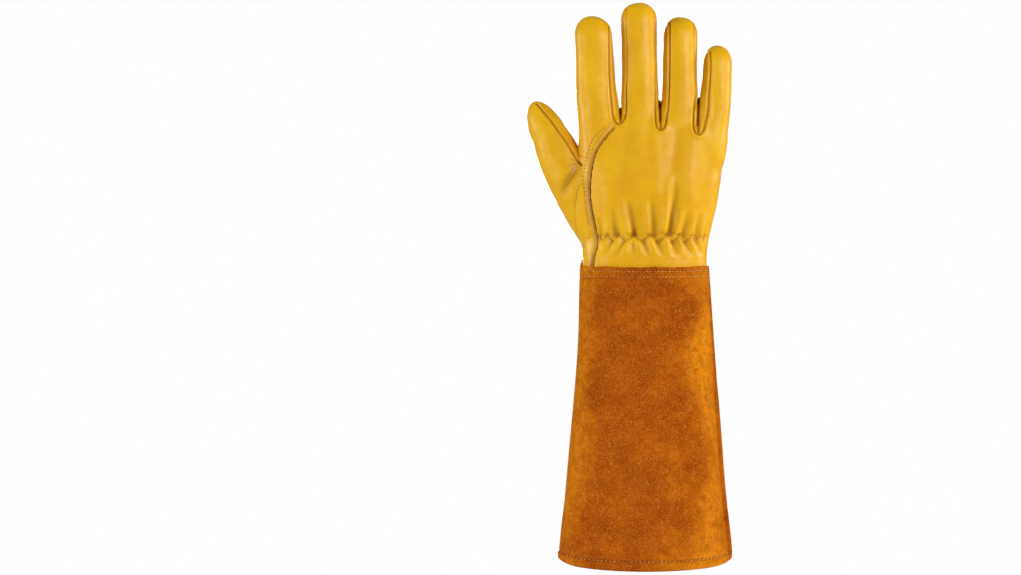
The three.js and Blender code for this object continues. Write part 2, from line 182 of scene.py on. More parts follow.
RING_RIGHT = [
    (38.4, 462), (39.4, 430), (41, 389), (40.2, 378.4), (39.2, 369), (38.7, 360), (38.9, 355.6), (39.9, 352.2),
    (41.4, 350.6), (42.6, 350.3),
]
LITTLE_SEAM = [
    (42.6, 350.3), (43.8, 350.6), (45.8, 352.4), (47.3, 355.6), (48.4, 360), (49.6, 365), (50.8, 374), (51, 382),
    (52.2, 395), (52.7, 408), (52.2, 417),
]
PALM_SEAM_RING = [(43.4, 361), (37.2, 358.8), (33.2, 355.4), (28.4, 353.2), (20.4, 352.8), (11.8, 354)]
PALM_SEAM_MIDDLE = [(12.6, 354), (6, 353.4), (-6, 352.4), (-14.8, 351.4), (-21.2, 355)]
SLITS = [[(-20.2, 376), (-20.4, 364)], [(12.4, 389), (12.4, 362)], [(42.8, 386), (42.8, 358)]]
# Where a gap between two neighbouring fingers ends, and the x of the fingers' middles between the gaps
GAP_ENDS, BETWEEN_GAPS = np.array([372, 378, 380]), [-4, 28]


# Numbers from the tables, and lines of points

def smooth(at, stops, values):
    """A curve through the values without overshoot: cubic Hermite pieces, whose slope at a stop is the
    harmonic mean of the two straight slopes beside it, or zero where they differ in sign."""
    steps = np.diff(stops)
    slopes = np.diff(values) / steps
    tangents = np.zeros(len(values))
    tangents[0], tangents[-1] = slopes[0], slopes[-1]
    same = slopes[:-1] * slopes[1:] > 0
    sums = np.where(same, slopes[:-1] + slopes[1:], 1)
    tangents[1:-1] = np.where(same, 2 * slopes[:-1] * slopes[1:] / sums, 0)
    i = np.clip(np.searchsorted(stops, at) - 1, 0, len(steps) - 1)
    t = np.clip((at - stops[i]) / steps[i], 0, 1)
    low, high = values[i], values[i + 1]
    return (low + (high - low) * t * t * (3 - 2 * t)
            + steps[i] * t * (1 - t) * (tangents[i] * (1 - t) - tangents[i + 1] * t))


def ramp(at, start, end):
    """0 before start, 1 past end, and the curve t * t * (3 - 2 t) between."""
    t = np.clip((at - start) / (end - start), 0, 1)
    return t * t * (3 - 2 * t)


def hump(at, width):
    """A bell, exp(-(at / width) squared)."""
    return np.exp(-(at / width) ** 2)


def soft_join(a, b, width):
    """The smaller of two distances, rounded where they come closer than the width: less h cubed * width / 6."""
    h = np.maximum(width - np.abs(a - b), 0) / width
    return np.minimum(a, b) - h ** 3 * width / 6


def unit(vectors):
    """Vectors over their lengths."""
    return vectors / np.linalg.norm(vectors, axis=1)[:, None]


def lengths_along(points):
    """The length of a line of points up to each of them."""
    return np.append(0, np.cumsum(np.linalg.norm(np.diff(points, axis=0), axis=1)))


# The form of the hand

def tube_distance(across, out, half, depth, squareness, past, end_length, power=2.2):
    """Distance to a tube whose section is a superellipse and whose end is a dome:
    R = ((|x / half|^n + |y / depth|^n)^(p/n) + (past / length)^p)^(1/p), and the distance is (R - 1) over the
    length of R's gradient."""
    a = np.abs(across) / half + 1e-6
    b = np.abs(out) / depth + 1e-6
    c = np.maximum(past, 0) / end_length
    section = (a ** squareness + b ** squareness) ** (1 / squareness)
    section_slope = section ** (1 - squareness) * np.hypot(
        a ** (squareness - 1) / half, b ** (squareness - 1) / depth)
    whole = (section ** power + c ** power) ** (1 / power)
    slope = np.hypot((section / whole) ** (power - 1) * section_slope, (c / whole) ** (power - 1) / end_length)
    return (whole - 1) / slope


def palm_distance(x, y, z):
    """The palm: superelliptic sections whose edges, depth and middle follow the hand's table."""
    level = z - smooth(z, HAND["z"], HAND["slope"]) * (x - 6)
    low = smooth(level, HAND["z"], HAND["thumb_edge"])
    high = smooth(level, HAND["z"], HAND["little_edge"])
    depth = smooth(level, HAND["z"], HAND["depth"]) / 2
    middle = smooth(level, HAND["z"], HAND["y"])
    return tube_distance(x - (low + high) / 2, y - middle, (high - low) / 2, depth, 2.4, level - 352, 14)


def finger_middle(k, z):
    """Centre x and y and the half width and depth of a finger at height z."""
    row = {name: values[k] for name, values in FINGERS.items()}
    dome = row["tip_z"] - row["tip_round"]
    stops = np.array([FINGER_BASE, FINGER_ROOT, FINGER_MIDDLE, dome])
    widths = np.array([row[name] for name in ("base_half", "root_half", "mid_half", "tip_half")])
    centres = np.array([row[name] for name in ("base_x", "root_x", "mid_x", "tip_x")])
    x = smooth(z, np.append(stops[:3], row["tip_z"]), centres)
    along = np.clip((z - FINGER_BASE) / (row["tip_z"] - FINGER_BASE), 0, 1)
    return x, row["lean"] * along ** 1.7, smooth(z, stops, widths), row["depth_half"] * (1 - 0.1 * along)


def finger_distance(k, x, y, z):
    """A finger: sections along its leaning centre line, a domed tip, and a root that fades into the palm."""
    centre, lean, half, depth = finger_middle(k, z)
    tip, length = FINGERS["tip_z"][k], FINGERS["tip_round"][k]
    past = np.maximum(z - (tip - length), (FINGER_BASE + 4 - z) * length / 22)
    return tube_distance(x - centre, y - lean, half, depth, 2.4, past, length)


THUMB_RUN = np.array([THUMB_TIP[0] - THUMB["x"][0], THUMB_TIP[2] - THUMB["z"][0]])
THUMB_LENGTH = np.hypot(*THUMB_RUN)


def thumb_frame(x, z):
    """How far points lie along the line from the thumb's root to its tip, and how far beside it."""
    x, z = x - THUMB["x"][0], z - THUMB["z"][0]
    run_x, run_z = THUMB_RUN / THUMB_LENGTH
    return x * run_x + z * run_z, x * run_z - z * run_x


THUMB_ALONG, THUMB_ASIDE = thumb_frame(THUMB["x"], THUMB["z"])


def thumb_distance(x, y, z):
    """The thumb: sections square to the line from its root to its tip, shifted sideways by its table."""
    along, aside = thumb_frame(x, z)
    stops = np.append(THUMB_ALONG, THUMB_LENGTH)
    shift = smooth(along, stops, np.append(THUMB_ASIDE, 0))
    middle = smooth(along, stops, np.append(THUMB["y"], THUMB_TIP[1]))
    half = smooth(along, THUMB_ALONG, THUMB["half"])
    depth = smooth(along, THUMB_ALONG, THUMB["depth_half"])
    end = THUMB_LENGTH - THUMB_ALONG[-1]
    past = np.maximum(along - THUMB_ALONG[-1], (4 - along) * end / 16)
    return tube_distance(aside - shift, y - middle, half, depth, 2.3, past, end, 1.9)


def hand_distance(points):
    """Distance to the whole hand: fingers joined tightly to each other and by a web at their roots, softly to the
    palm, and the thumb softly too."""
    x, y, z = points.T
    width = 1.2 + 13 * ramp(GAP_ENDS[np.searchsorted(BETWEEN_GAPS, x)] - z, 0, 11)
    fingers = finger_distance(INDEX, x, y, z)
    for k in (MIDDLE, RING, LITTLE):
        fingers = soft_join(fingers, finger_distance(k, x, y, z), width)
    hand = soft_join(fingers, palm_distance(x, y, z), 5)
    return soft_join(hand, thumb_distance(x, y, z), 2.5)


def slope_of(points, step=0.05):
    """The distance's gradient, from differences to both sides along each axis."""
    shifts = step * np.eye(3)
    return np.stack([(hand_distance(points + s) - hand_distance(points - s)) / (2 * step) for s in shifts], 1)


def settle(points, rounds):
    """Moves points onto the surface, each round by the distance along the gradient, and gives their normals too."""
    for _ in range(rounds):
        slope = slope_of(points)
        points = points - slope * (hand_distance(points) / (slope ** 2).sum(1))[:, None]
    return points, unit(slope_of(points))


def surface_net(field, low, high, step):
    """The zero surface of a field as triangles: one point in each grid cell that it crosses, at the mean of its
    edges' crossings, and a quad round each grid edge that it crosses."""
    axes = [np.arange(low[i], high[i] + step, step) for i in range(3)]
    size = [len(axis) for axis in axes]
    grid = np.stack(np.meshgrid(*axes, indexing="ij"), -1).reshape(-1, 3)
    values = field(grid).reshape(size)
    inside = values < 0
    cells = [n - 1 for n in size]
    corners = np.array([(i, j, k) for i in (0, 1) for j in (0, 1) for k in (0, 1)])
    count = sum(inside[i:i + cells[0], j:j + cells[1], k:k + cells[2]].astype(int) for i, j, k in corners)
    active = np.argwhere((count > 0) & (count < 8))
    number = np.full(cells, -1)
    number[tuple(active.T)] = np.arange(len(active))
    corner_values = np.stack([values[tuple((active + c).T)] for c in corners], 1)
    total = np.zeros((len(active), 3))
    hits = np.zeros(len(active))
    for a in range(8):
        for b in range(a + 1, 8):
            if np.abs(corners[a] - corners[b]).sum() != 1:
                continue
            va, vb = corner_values[:, a], corner_values[:, b]
            crossed = (va < 0) != (vb < 0)
            t = np.where(crossed, va / np.where(crossed, va - vb, 1), 0)
            total += crossed[:, None] * (corners[a] + t[:, None] * (corners[b] - corners[a]))
            hits += crossed
    points = np.array(low) + step * (active + total / hits[:, None])
    faces = []
    for axis in range(3):
        one, two = (axis + 1) % 3, (axis + 2) % 3
        shift = [slice(None)] * 3
        shift[axis] = slice(1, None)
        back = [slice(None)] * 3
        back[axis] = slice(None, -1)
        change = inside[tuple(back)].astype(int) - inside[tuple(shift)].astype(int)
        at = np.argwhere(change != 0)
        at = at[(at[:, one] > 0) & (at[:, two] > 0) & (at[:, one] < cells[one]) & (at[:, two] < cells[two])]
        way = change[tuple(at.T)]
        ring = []
        for da, db in ((-1, -1), (0, -1), (0, 0), (-1, 0)):
            cell = at.copy()
            cell[:, one] += da
            cell[:, two] += db
            ring.append(number[tuple(cell.T)])
        quad = np.stack(ring, 1)
        faces.append(np.where(way[:, None] > 0, quad, quad[:, ::-1]))
    quads = np.concatenate(faces)
    first = np.linalg.norm(points[quads[:, 0]] - points[quads[:, 2]], axis=1)
    second = np.linalg.norm(points[quads[:, 1]] - points[quads[:, 3]], axis=1)
    turn = np.where((first < second)[:, None], quads, np.roll(quads, 1, axis=1))
    return points, np.concatenate([turn[:, [0, 1, 2]], turn[:, [0, 2, 3]]])


def edges_of(tris):
    """The edges of triangles as pairs of points, in the triangles' own turn: all first, all second, all third."""
    return np.concatenate([tris[:, [0, 1]], tris[:, [1, 2]], tris[:, [2, 0]]])


def relax(points, tris, rounds):
    """Each point that has neighbours moves halfway to their mean, then back onto the surface."""
    start, end = edges_of(tris).T
    count = np.bincount(start, minlength=len(points))[:, None]
    for _ in range(rounds):
        total = np.stack([np.bincount(start, points[end, i], len(points)) for i in range(3)], 1)
        points = np.where(count > 0, points + 0.5 * (total / np.maximum(count, 1) - points), points)
        points, _ = settle(points, 1)
    return points


# The new triangles for each set of halved edges, whose bits are 1, 2 and 4. Corners are 0 to 2 and the edges' middles
# 3 to 5.
SPLITS = {
    1: [(0, 3, 2), (3, 1, 2)],
    2: [(0, 1, 4), (0, 4, 2)],
    4: [(0, 1, 5), (5, 1, 2)],
    3: [(3, 1, 4), (0, 3, 4), (0, 4, 2)],
    6: [(4, 2, 5), (0, 1, 4), (0, 4, 5)],
    5: [(0, 3, 5), (3, 1, 2), (3, 2, 5)],
    7: [(0, 3, 5), (3, 1, 4), (5, 4, 2), (3, 4, 5)],
}


def refine(points, tris, marked):
    """Halves each edge whose two ends are marked, and cuts the triangles beside it in 2, 3 or 4."""
    edges, which = np.unique(np.sort(edges_of(tris), axis=1), axis=0, return_inverse=True)
    which = which.reshape(3, -1).T
    split = marked[edges[:, 0]] & marked[edges[:, 1]]
    middle = np.cumsum(split) - 1 + len(points)
    halves = points[edges[split]].mean(1)
    corners = np.concatenate([tris, middle[which]], 1)
    code = (split[which] * np.array([1, 2, 4])).sum(1)
    made = [tris[code == 0]]
    for key, pieces in SPLITS.items():
        rows = corners[code == key]
        made += [rows[:, list(piece)] for piece in pieces]
    return np.concatenate([points, halves]), np.concatenate(made)


def clip(fields, tris, side):
    """Keeps where side is over 0. A cut edge gets one new point, shared by its faces, with every field blended."""
    keep = side > 0
    ends = np.sort(edges_of(tris), axis=1)
    edges = np.unique(ends[keep[ends[:, 0]] != keep[ends[:, 1]]], axis=0)
    a, b = edges.T
    t = side[a] / (side[a] - side[b])
    fields = {name: np.concatenate([v, v[a] + (v[b] - v[a]) * (t if v.ndim == 1 else t[:, None])])
              for name, v in fields.items()}
    count = len(side)
    keys = a * count + b

    def cut(one, two):
        low, high = np.minimum(one, two), np.maximum(one, two)
        return count + np.searchsorted(keys, low * count + high)

    kept = keep[tris]
    total = kept.sum(1)
    made = [tris[total == 3]]
    for wanted in (1, 2):
        rows, flags = tris[total == wanted], kept[total == wanted]
        odd = np.argmax(flags if wanted == 1 else ~flags, axis=1)
        order = (odd[:, None] + np.arange(3)) % 3
        p, q, r = np.take_along_axis(rows, order, 1).T
        if wanted == 1:
            made.append(np.stack([p, cut(p, q), cut(p, r)], 1))
        else:
            made.append(np.stack([cut(p, q), q, r], 1))
            made.append(np.stack([cut(p, q), r, cut(p, r)], 1))
    tris = np.concatenate(made)
    used, tris = np.unique(tris, return_inverse=True)
    return {name: v[used] for name, v in fields.items()}, tris.reshape(-1, 3)


# Routes on the surface

def walk(route, step=0.5, curved=True):
    """Points along a route a step apart: a Catmull-Rom curve through its corners, then even arc lengths."""
    route = np.array(route, float)
    if curved and len(route) > 2:
        ends = np.concatenate([2 * route[:1] - route[1:2], route, 2 * route[-1:] - route[-2:-1]])
        a, b, c, d = ends[:-3, None], ends[1:-2, None], ends[2:-1, None], ends[3:, None]
        t = np.linspace(0, 1, 12, endpoint=False)[None, :, None]
        curve = 0.5 * (2 * b + (c - a) * t + (2 * a - 5 * b + 4 * c - d) * t ** 2 + (3 * b - a - 3 * c + d) * t ** 3)
        route = np.concatenate([curve.reshape(-1, route.shape[1]), route[-1:]])
    lengths = lengths_along(route)
    at = np.linspace(0, lengths[-1], max(2, int(round(lengths[-1] / step)) + 1))
    return np.stack([np.interp(at, lengths, column) for column in route.T], 1)


def touch(points, way, reach):
    """Where rays from points first meet the surface: 120 steps along the way, then 20 halvings. Rays that miss are
    dropped."""
    way = np.array(way, float)
    at = np.linspace(0, reach, 121)
    rays = points[:, None] + way * at[None, :, None]
    values = hand_distance(rays.reshape(-1, 3)).reshape(len(points), -1)
    inside = values < 0
    hit = inside.any(1)
    first = np.argmax(inside, axis=1)[hit]
    points = points[hit]
    low, high = at[np.maximum(first - 1, 0)], at[first]
    for _ in range(20):
        half = (low + high) / 2
        out = hand_distance(points + way * half[:, None]) > 0
        low, high = np.where(out, half, low), np.where(out, high, half)
    return points + way * high[:, None]


def lay(route, start_y, way_y, options):
    """A route of x and z laid on the hand by rays that start at one y and run along it."""
    x, z = walk(route, **options).T
    return touch(np.stack([x, np.full(len(x), start_y), z], 1), (0, way_y, 0), 46)


def on_back(route, **options):
    """A route of x and z laid on the back of the hand."""
    return lay(route, -34.0, 1, options)


def on_palm(route, **options):
    """A route of x and z laid on the palm side."""
    return lay(route, 40.0, -1, options)


def over_tip(k, low_x, high_x):
    """A line across a fingertip's crest, from one x to another."""
    x = np.linspace(low_x, high_x, 40)
    y = FINGERS["lean"][k] * np.ones(40)
    return touch(np.stack([x, y, np.full(40, FINGERS["tip_z"][k] + 6)], 1), (0, 0, -1), 30)


def distance_to(points, routes, limit=7.0):
    """Distance from each point to the nearest route, with the limit as its highest value. A route is short segments,
    and a long one is a jump where rays missed, so it doesn't count. Segments are taken one 12 mm cell at a time."""
    starts = np.concatenate([route[:-1] for route in routes])
    runs = np.concatenate([np.diff(route, axis=0) for route in routes])
    short = np.linalg.norm(runs, axis=1) < 6
    starts, runs = starts[short], runs[short]
    best = np.full(len(points), limit)
    squares = (runs ** 2).sum(1) + 1e-9
    cell = 12.0
    keys = np.floor(starts / cell).astype(int)
    for key in np.unique(keys, axis=0):
        some = (keys == key).all(1)
        low, high = key * cell - limit - 1, (key + 1) * cell + limit + 1
        near = np.flatnonzero(((points > low) & (points < high)).all(1))
        if not len(near):
            continue
        gap = points[near, None] - starts[some][None]
        t = np.clip((gap * runs[some]).sum(2) / squares[some], 0, 1)
        apart = np.linalg.norm(gap - t[..., None] * runs[some], axis=2).min(1)
        best[near] = np.minimum(best[near], apart)
    return best


def within(x, z, outline):
    """Whether points lie in a closed outline: an odd number of its edges lie to their right."""
    outline = np.array(outline, float)
    inside = np.zeros(len(x), bool)
    for (ax, az), (bx, bz) in zip(outline, np.roll(outline, -1, axis=0)):
        if az == bz:
            continue
        crosses = ((az > z) != (bz > z)) & (x < (bx - ax) * (z - az) / (bz - az) + ax)
        inside ^= crosses
    return inside


# Seams, folds and relief of the hand, as x and z unless a column says otherwise

FOLDS = table("x z end_x end_z height width", [
    (-29.8, 270, -29.8, 302, 1.5, 2.4), (-12.2, 270, -20.5, 300, 2.1, 2.2), (3.2, 270, 0, 302, 2.0, 2.1),
    (14.2, 270, 20.6, 320, 2.4, 2.5), (24.4, 270, 30, 294, 1.8, 2.0), (34.8, 269, 41, 292, 1.5, 1.9),
    (43.6, 268, 49, 288, 1.1, 2.0),
    (-34.6, 268, -36, 284, -1.0, 1.6), (-23.6, 267, -26.4, 294, -1.6, 2.2), (-8.4, 268, -14, 300, -1.9, 2.0),
    (7.4, 267, 4.8, 300, -1.9, 2.0), (19.4, 267, 25, 318, -2.3, 2.1), (30, 266, 34, 290, -1.7, 1.7),
    (39.6, 266, 44, 288, -1.3, 1.6),
    (-30.6, 269, -36.5, 252, 1.5, 2.2), (-21.2, 269.5, -28, 252, 1.6, 2.3), (-12.5, 268, -18.5, 252, 1.2, 2.2),
    (-6.5, 268, -2.6, 252, 1.2, 2.2), (3.6, 269.5, 9.4, 252, 1.7, 2.3), (16.8, 269.5, 19.4, 251, 1.7, 2.4),
    (27.4, 269.5, 31.4, 251, 1.6, 2.2), (36.4, 269.5, 41.6, 251, 1.5, 2.1), (43.8, 269, 48, 252, 1.2, 2.0),
    (-26.2, 266, -32, 253, -1.3, 1.5), (-16.2, 266, -23, 253, -1.3, 1.6), (-9.6, 264, -10.4, 253, -0.7, 2.2),
    (-1.8, 266, 3.4, 253, -1.4, 1.6), (9.2, 266, 14.4, 253, -1.4, 1.7), (21.2, 266, 25, 253, -1.4, 1.6),
    (31, 266, 36, 253, -1.3, 1.5), (39.8, 266, 45, 253, -1.2, 1.4),
])
# The elastic's stitched line hangs in scallops from these cusps
CUSPS = table("x z", [
    (-36.6, 270), (-30.2, 271.4), (-21.2, 271.6), (-9.2, 271.8), (3.6, 271.4), (16.8, 271.4), (27, 271),
    (36.4, 270.8), (43.2, 270.2), (48, 269.4),
])
SCALLOP_DEPTH = 5.6
# Creases (height below 0) and soft ridges of the back and the palm: height, width, painted shade and route
BACK_CREASES = [
    (-1.1, 3.4, 0.4, [(-54.6, 324), (-58, 318), (-62, 311.6), (-65.2, 306)]),
    (-0.15, 0.9, 0.2, [(-55, 321), (-58.4, 315.4), (-62, 310)]),
    (-0.15, 0.9, 0.18, [(-57.4, 323), (-60.6, 318), (-64, 312.8)]),
    (0.6, 4.0, 0, [(-51.6, 315.6), (-55, 307.4), (-60.4, 299)]),
    (1.1, 6.5, 0, [(41, 352), (38.4, 336), (36.8, 318), (38, 298)]),
    (-0.9, 5, 0.04, [(25, 352), (23.4, 338), (22.4, 322)]),
    (0.8, 5, 0, [(8, 348), (9.4, 334), (10, 320), (9, 304)]),
    (-0.8, 7, 0.05, [(-12, 346), (-16, 326), (-15, 304)]),
    (-0.4, 1.0, 0.16, [(-57.6, 337.4), (-54.4, 334.6), (-50.6, 332.6)]),
    (-0.3, 1.0, 0.14, [(-53, 329), (-58.6, 331)]),
    (-0.3, 1.0, 0.14, [(-53, 327.6), (-60.6, 326.4)]),
]
PALM_CREASES = [
    (1.1, 5.5, 0, [(44, 338), (30, 342), (8, 343), (-16, 341), (-30, 338)]),
    (-0.9, 9, 0.12, [(34, 322), (12, 320), (-6, 316)]),
    (-1.3, 3.4, 0.14, [(24.4, 316), (24.8, 298), (22.6, 279)]),
    (-1.3, 3.4, 0.14, [(9.2, 314), (8.6, 296), (7, 281)]),
    (1.0, 2.6, 0, [(30, 306), (31.6, 292), (34, 276)]),
    (1.0, 2.8, 0, [(16.4, 314), (16.4, 296), (14, 280)]),
    (-1.0, 2.2, 0.22, [(31.1, 299.2), (34.6, 286), (38.8, 272)]),
    (-0.9, 1.8, 0.2, [(23.6, 274.6), (29.6, 266.4)]),
    (-0.8, 1.8, 0.15, [(42, 276), (44.6, 266)]),
    (-0.9, 3.4, 0.12, [(-14, 326), (-6, 318), (-2, 306)]),
    (-1.2, 6, 0.22, [(-56, 306), (-66, 326), (-76, 346)]),
    (-0.4, 0.7, 0.15, [(-14.5, 314), (-12.4, 304), (-11.6, 293.6), (-11.6, 280)]),
]


def seam_lines():
    """Every seam, slit and crease as points on the plain surface."""
    return {
        "arc": [on_back(BACK_SEAM)],
        "plain": [on_back(INDEX_SEAM), on_back(LITTLE_SEAM), on_back(THUMB_INNER_SEAM)],
        "middle": [on_back(MIDDLE_LEFT), on_back(MIDDLE_RIGHT), over_tip(MIDDLE, -14.2, 7.6),
                   on_palm(PALM_SEAM_MIDDLE)],
        "ring": [on_back(RING_LEFT), on_back(RING_RIGHT), over_tip(RING, 20, 38.2), on_palm(PALM_SEAM_RING)],
        "thumb": [on_palm(THUMB_PALM_SEAM), on_back(THUMB_BACK_SEAM)],
        "slits": [on_back(route) for route in SLITS],
    }


def front_side(points, k, lines, name, left, right, palm_route):
    """Distance to a middle finger's own seams: over 0 on its set-in front and side walls, under 0 on the strip of
    back leather and below its root, and cut off where a neighbouring finger is nearer."""
    x, y, z = points.T
    left, right = walk(left), walk(right)
    (start_x, start_z), (end_x, end_z) = left[0], right[-1]
    strip = np.concatenate([left, right, [
        (end_x + 10, end_z), (end_x + 10, 330), (start_x - 10, 330), (start_x - 10, start_z)]])
    palm = walk(palm_route)[::-1]
    above = z > np.interp(x, palm[:, 0], palm[:, 1])
    behind = y < finger_middle(k, z)[1]
    front = np.where(behind, ~within(x, z, strip) & (z > 340), above)
    apart = distance_to(points, lines[name])
    own = finger_distance(k, x, y, z)
    others = [finger_distance(j, x, y, z) for j in range(4) if j != k]
    return np.minimum(np.where(front, apart, -apart), (np.min(others, axis=0) - own) / 2)


def slit_distance(points):
    """Distance to the slit between two neighbouring fingers: half the difference of the distances to the nearest two,
    and, below the slit's end, the height still missing to it as well."""
    x, y, z = points.T
    near = np.sort([finger_distance(k, x, y, z) for k in range(4)], axis=0)
    end = np.array([line[-1][1] for line in SLITS])[np.searchsorted(BETWEEN_GAPS, x)]
    return np.hypot((near[1] - near[0]) / 2, np.maximum(end - z, 0))


def thumb_side(points, lines):
    """Distance to the thumb's seams, over 0 on the thumb's own leather."""
    x, y, z = points.T
    far = [(-120, 262), (-120, 400), (-64, 400)]
    inside = np.where(y > 5, within(x, z, np.concatenate([walk(THUMB_PALM_SEAM), far])),
                      within(x, z, np.concatenate([walk(THUMB_BACK_SEAM), far])))
    apart = distance_to(points, lines["thumb"])
    return np.where(inside, apart, -apart)


def past_arc(points):
    """How far points lie past the back seam towards the little finger, along x."""
    seam_x, seam_z = walk(BACK_SEAM)[::-1].T
    return points[:, 0] - np.interp(points[:, 2], seam_z, seam_x)


def seam_fields(points, lines):
    """Distances of points to the seams, with a sign where a seam has two unlike sides."""
    arc_apart = distance_to(points, lines["arc"], 12)
    return {
        "arc": np.where(past_arc(points) < 0, arc_apart, -arc_apart),
        "middle": front_side(points, MIDDLE, lines, "middle", MIDDLE_LEFT, MIDDLE_RIGHT, PALM_SEAM_MIDDLE),
        "ring": front_side(points, RING, lines, "ring", RING_LEFT, RING_RIGHT, PALM_SEAM_RING),
        "thumb": thumb_side(points, lines),
        "plain": distance_to(points, lines["plain"]),
        "slits": slit_distance(points),
    }


def scallops(x):
    """Height of the elastic's line: between two cusps it hangs by depth * sin(pi t)^0.7."""
    cusps = CUSPS["x"]
    i = np.clip(np.searchsorted(cusps, x) - 1, 0, len(cusps) - 2)
    t = np.clip((x - cusps[i]) / (cusps[i + 1] - cusps[i]), 0, 1)
    depth = SCALLOP_DEPTH * np.minimum(1, (cusps[i + 1] - cusps[i]) / 9)
    return np.interp(x, cusps, CUSPS["z"]) - depth * np.sin(np.pi * t) ** 0.7


def fold_lift(x, z):
    """The gathers: each fold is a ridge or a furrow, height * (1 - t)^0.8 * bell(across / width), that starts at the
    elastic's line (t = 0) and fades at its end (t = 1), widening on the way. The second result is the elastic's
    own scalloped line, a bell across it."""
    lift = np.zeros(len(x))
    for row in zip(*FOLDS.values()):
        start_x, start_z, end_x, end_z, height, width = row
        t = (z - start_z) / (end_z - start_z)
        across = x - (start_x + (end_x - start_x) * t)
        on = (t > 0) & (t < 1)
        t = np.clip(t, 0, 1)
        lift += on * height * ramp(t, 0, 0.08) * (1 - t) ** 0.8 * hump(across, width * (1 + 0.6 * t))
    steep = (scallops(x + 0.2) - scallops(x - 0.2)) / 0.4
    apart = (z - scallops(x)) / np.hypot(1, steep)
    ends = ramp(x, CUSPS["x"][0] - 2, CUSPS["x"][0]) * ramp(-x, -CUSPS["x"][-1] - 2, -CUSPS["x"][-1])
    return lift - 0.7 * ends * hump(apart, 2.2), ends * hump(apart, 0.6)


WAVES = table("x y z phase height", [
    (0.21, 0.13, 0.05, 0.4, 0.18), (-0.12, 0.2, 0.08, 2.1, 0.18), (0.31, -0.1, 0.12, 4.4, 0.1),
    (0.07, 0.3, -0.14, 1.3, 0.1), (0.48, 0.2, -0.12, 5.2, 0.05), (-0.35, 0.3, 0.25, 3.3, 0.05),
])


def lumps(points):
    """Soft unevenness of worn leather: six crossing sine waves, 10 to 60 mm long."""
    return sum(height * np.sin(points @ np.array([x, y, z]) + phase)
               for x, y, z, phase, height in zip(*WAVES.values()))


def relief(points, fields, creases, groove):
    """Height over the plain surface and painted shade. A turned seam is -groove * bell with a low lip beside it, and
    is weaker between the fingers; the lapped back seam is a step with a painted shadow line on its low side; the
    thumb's seam is lapped on the palm and plain on the back; creases and gathers are bells across their routes.
    Seams, slits, furrows, creases and the elastic's line are darkened with painted shade."""
    x, y, z = points.T
    back = ramp(-y, 2, 9)
    # Turned seams, with painted shade in their grooves
    turned = np.minimum(np.minimum(np.abs(fields["middle"]), np.abs(fields["ring"])), fields["plain"])
    between = (np.abs(x + 4) < 16) | (np.abs(x - 36) < 7)
    sewn = 1 - 0.7 * between * ramp(z, 384, 398)
    height = sewn * (-groove * hump(turned, 0.8) + 0.5 * hump(turned - 2, 1.1))
    shade = sewn * 0.6 * hump(turned, 0.65)
    # The back seam: a step, with a painted shadow line on its low side and a fainter one 1.9 mm onto its raised side
    arc = fields["arc"]
    step = ramp(arc, -0.35, 0.3)
    fade = ramp(-z, -360, -352)
    wide = 0.6 + 0.25 * hump(z - 300, 26)
    height += fade * (1.2 * step * hump(arc, 6) - 1.3 * (1 - step) * hump(arc + 0.4, 1.5 * wide))
    shade += fade * np.minimum(1.7 * (1 - step) * hump(arc + 0.45, wide), 1) + 0.25 * fade * hump(arc - 1.9, 0.5)
    # The thumb's seam, with painted shade along it
    thumb = fields["thumb"]
    lapped = ramp(y, 2, 8)
    height += lapped * np.where(thumb < 0, 0.7 * hump(thumb, 4), -0.7 * hump(thumb, 1.6))
    plain = (1 - lapped) * (0.15 + 0.85 * ramp(-z, -324, -306))
    height -= plain * 0.5 * hump(thumb, 1.1)
    shade += np.where(thumb > 0, 0.8 * hump(thumb, 1.0), 0.3 * hump(thumb, 0.6)) * (0.3 * plain + lapped)
    # Slits between the fingers, gathers and creases, with painted shade in the slits, the furrows, the creases and
    # along the elastic's line
    height -= 0.5 * hump(fields["slits"], 0.8)
    shade += 0.65 * hump(fields["slits"], 0.6)
    folds, pull = fold_lift(x, z)
    height += back * (1.15 * folds - 0.7 * pull)
    shade += back * (0.36 * np.clip(-folds, 0, 2) + 0.35 * pull)
    for crease_height, width, dark, apart in creases:
        height += crease_height * hump(apart, width)
        shade += dark * hump(apart, width)
    return height + lumps(points), np.clip(shade, 0, 1)


def painted_wall_shade(points):
    """How much painted shade darkens the thumb-side walls of the three outer fingers, on their backs, which face away
    from the light; its orange stands in for light bounced between the fingers.
    """
    x, y, z = points.T
    near = np.argmin([finger_distance(k, x, y, z) for k in range(4)], axis=0)
    tone = np.zeros(len(x))
    # How much painted shade each finger's wall gets
    for k, dye in ((MIDDLE, 0.08), (RING, 0.24), (LITTLE, 0.3)):
        centre, lean, half, _ = finger_middle(k, z)
        across = (x - centre) / half
        tone += dye * (near == k) * ramp(-across, 0.5, 0.85) * ramp(z, 352, 366) * ramp(lean - y, 0, 4)
    return tone


def crease_fields(points, lines):
    """Each crease's height, width and painted shade with the points' distances to it, wide enough for its bell."""
    return [(height, width, dark, distance_to(points, [line], max(7.0, 2.6 * width)))
            for height, width, dark, line in lines]


# Corners and step of the grid that the hand's surface is found on
NET_LOW, NET_HIGH, NET_STEP = (-101, -23, 226), (75, 33, 461), 1.75


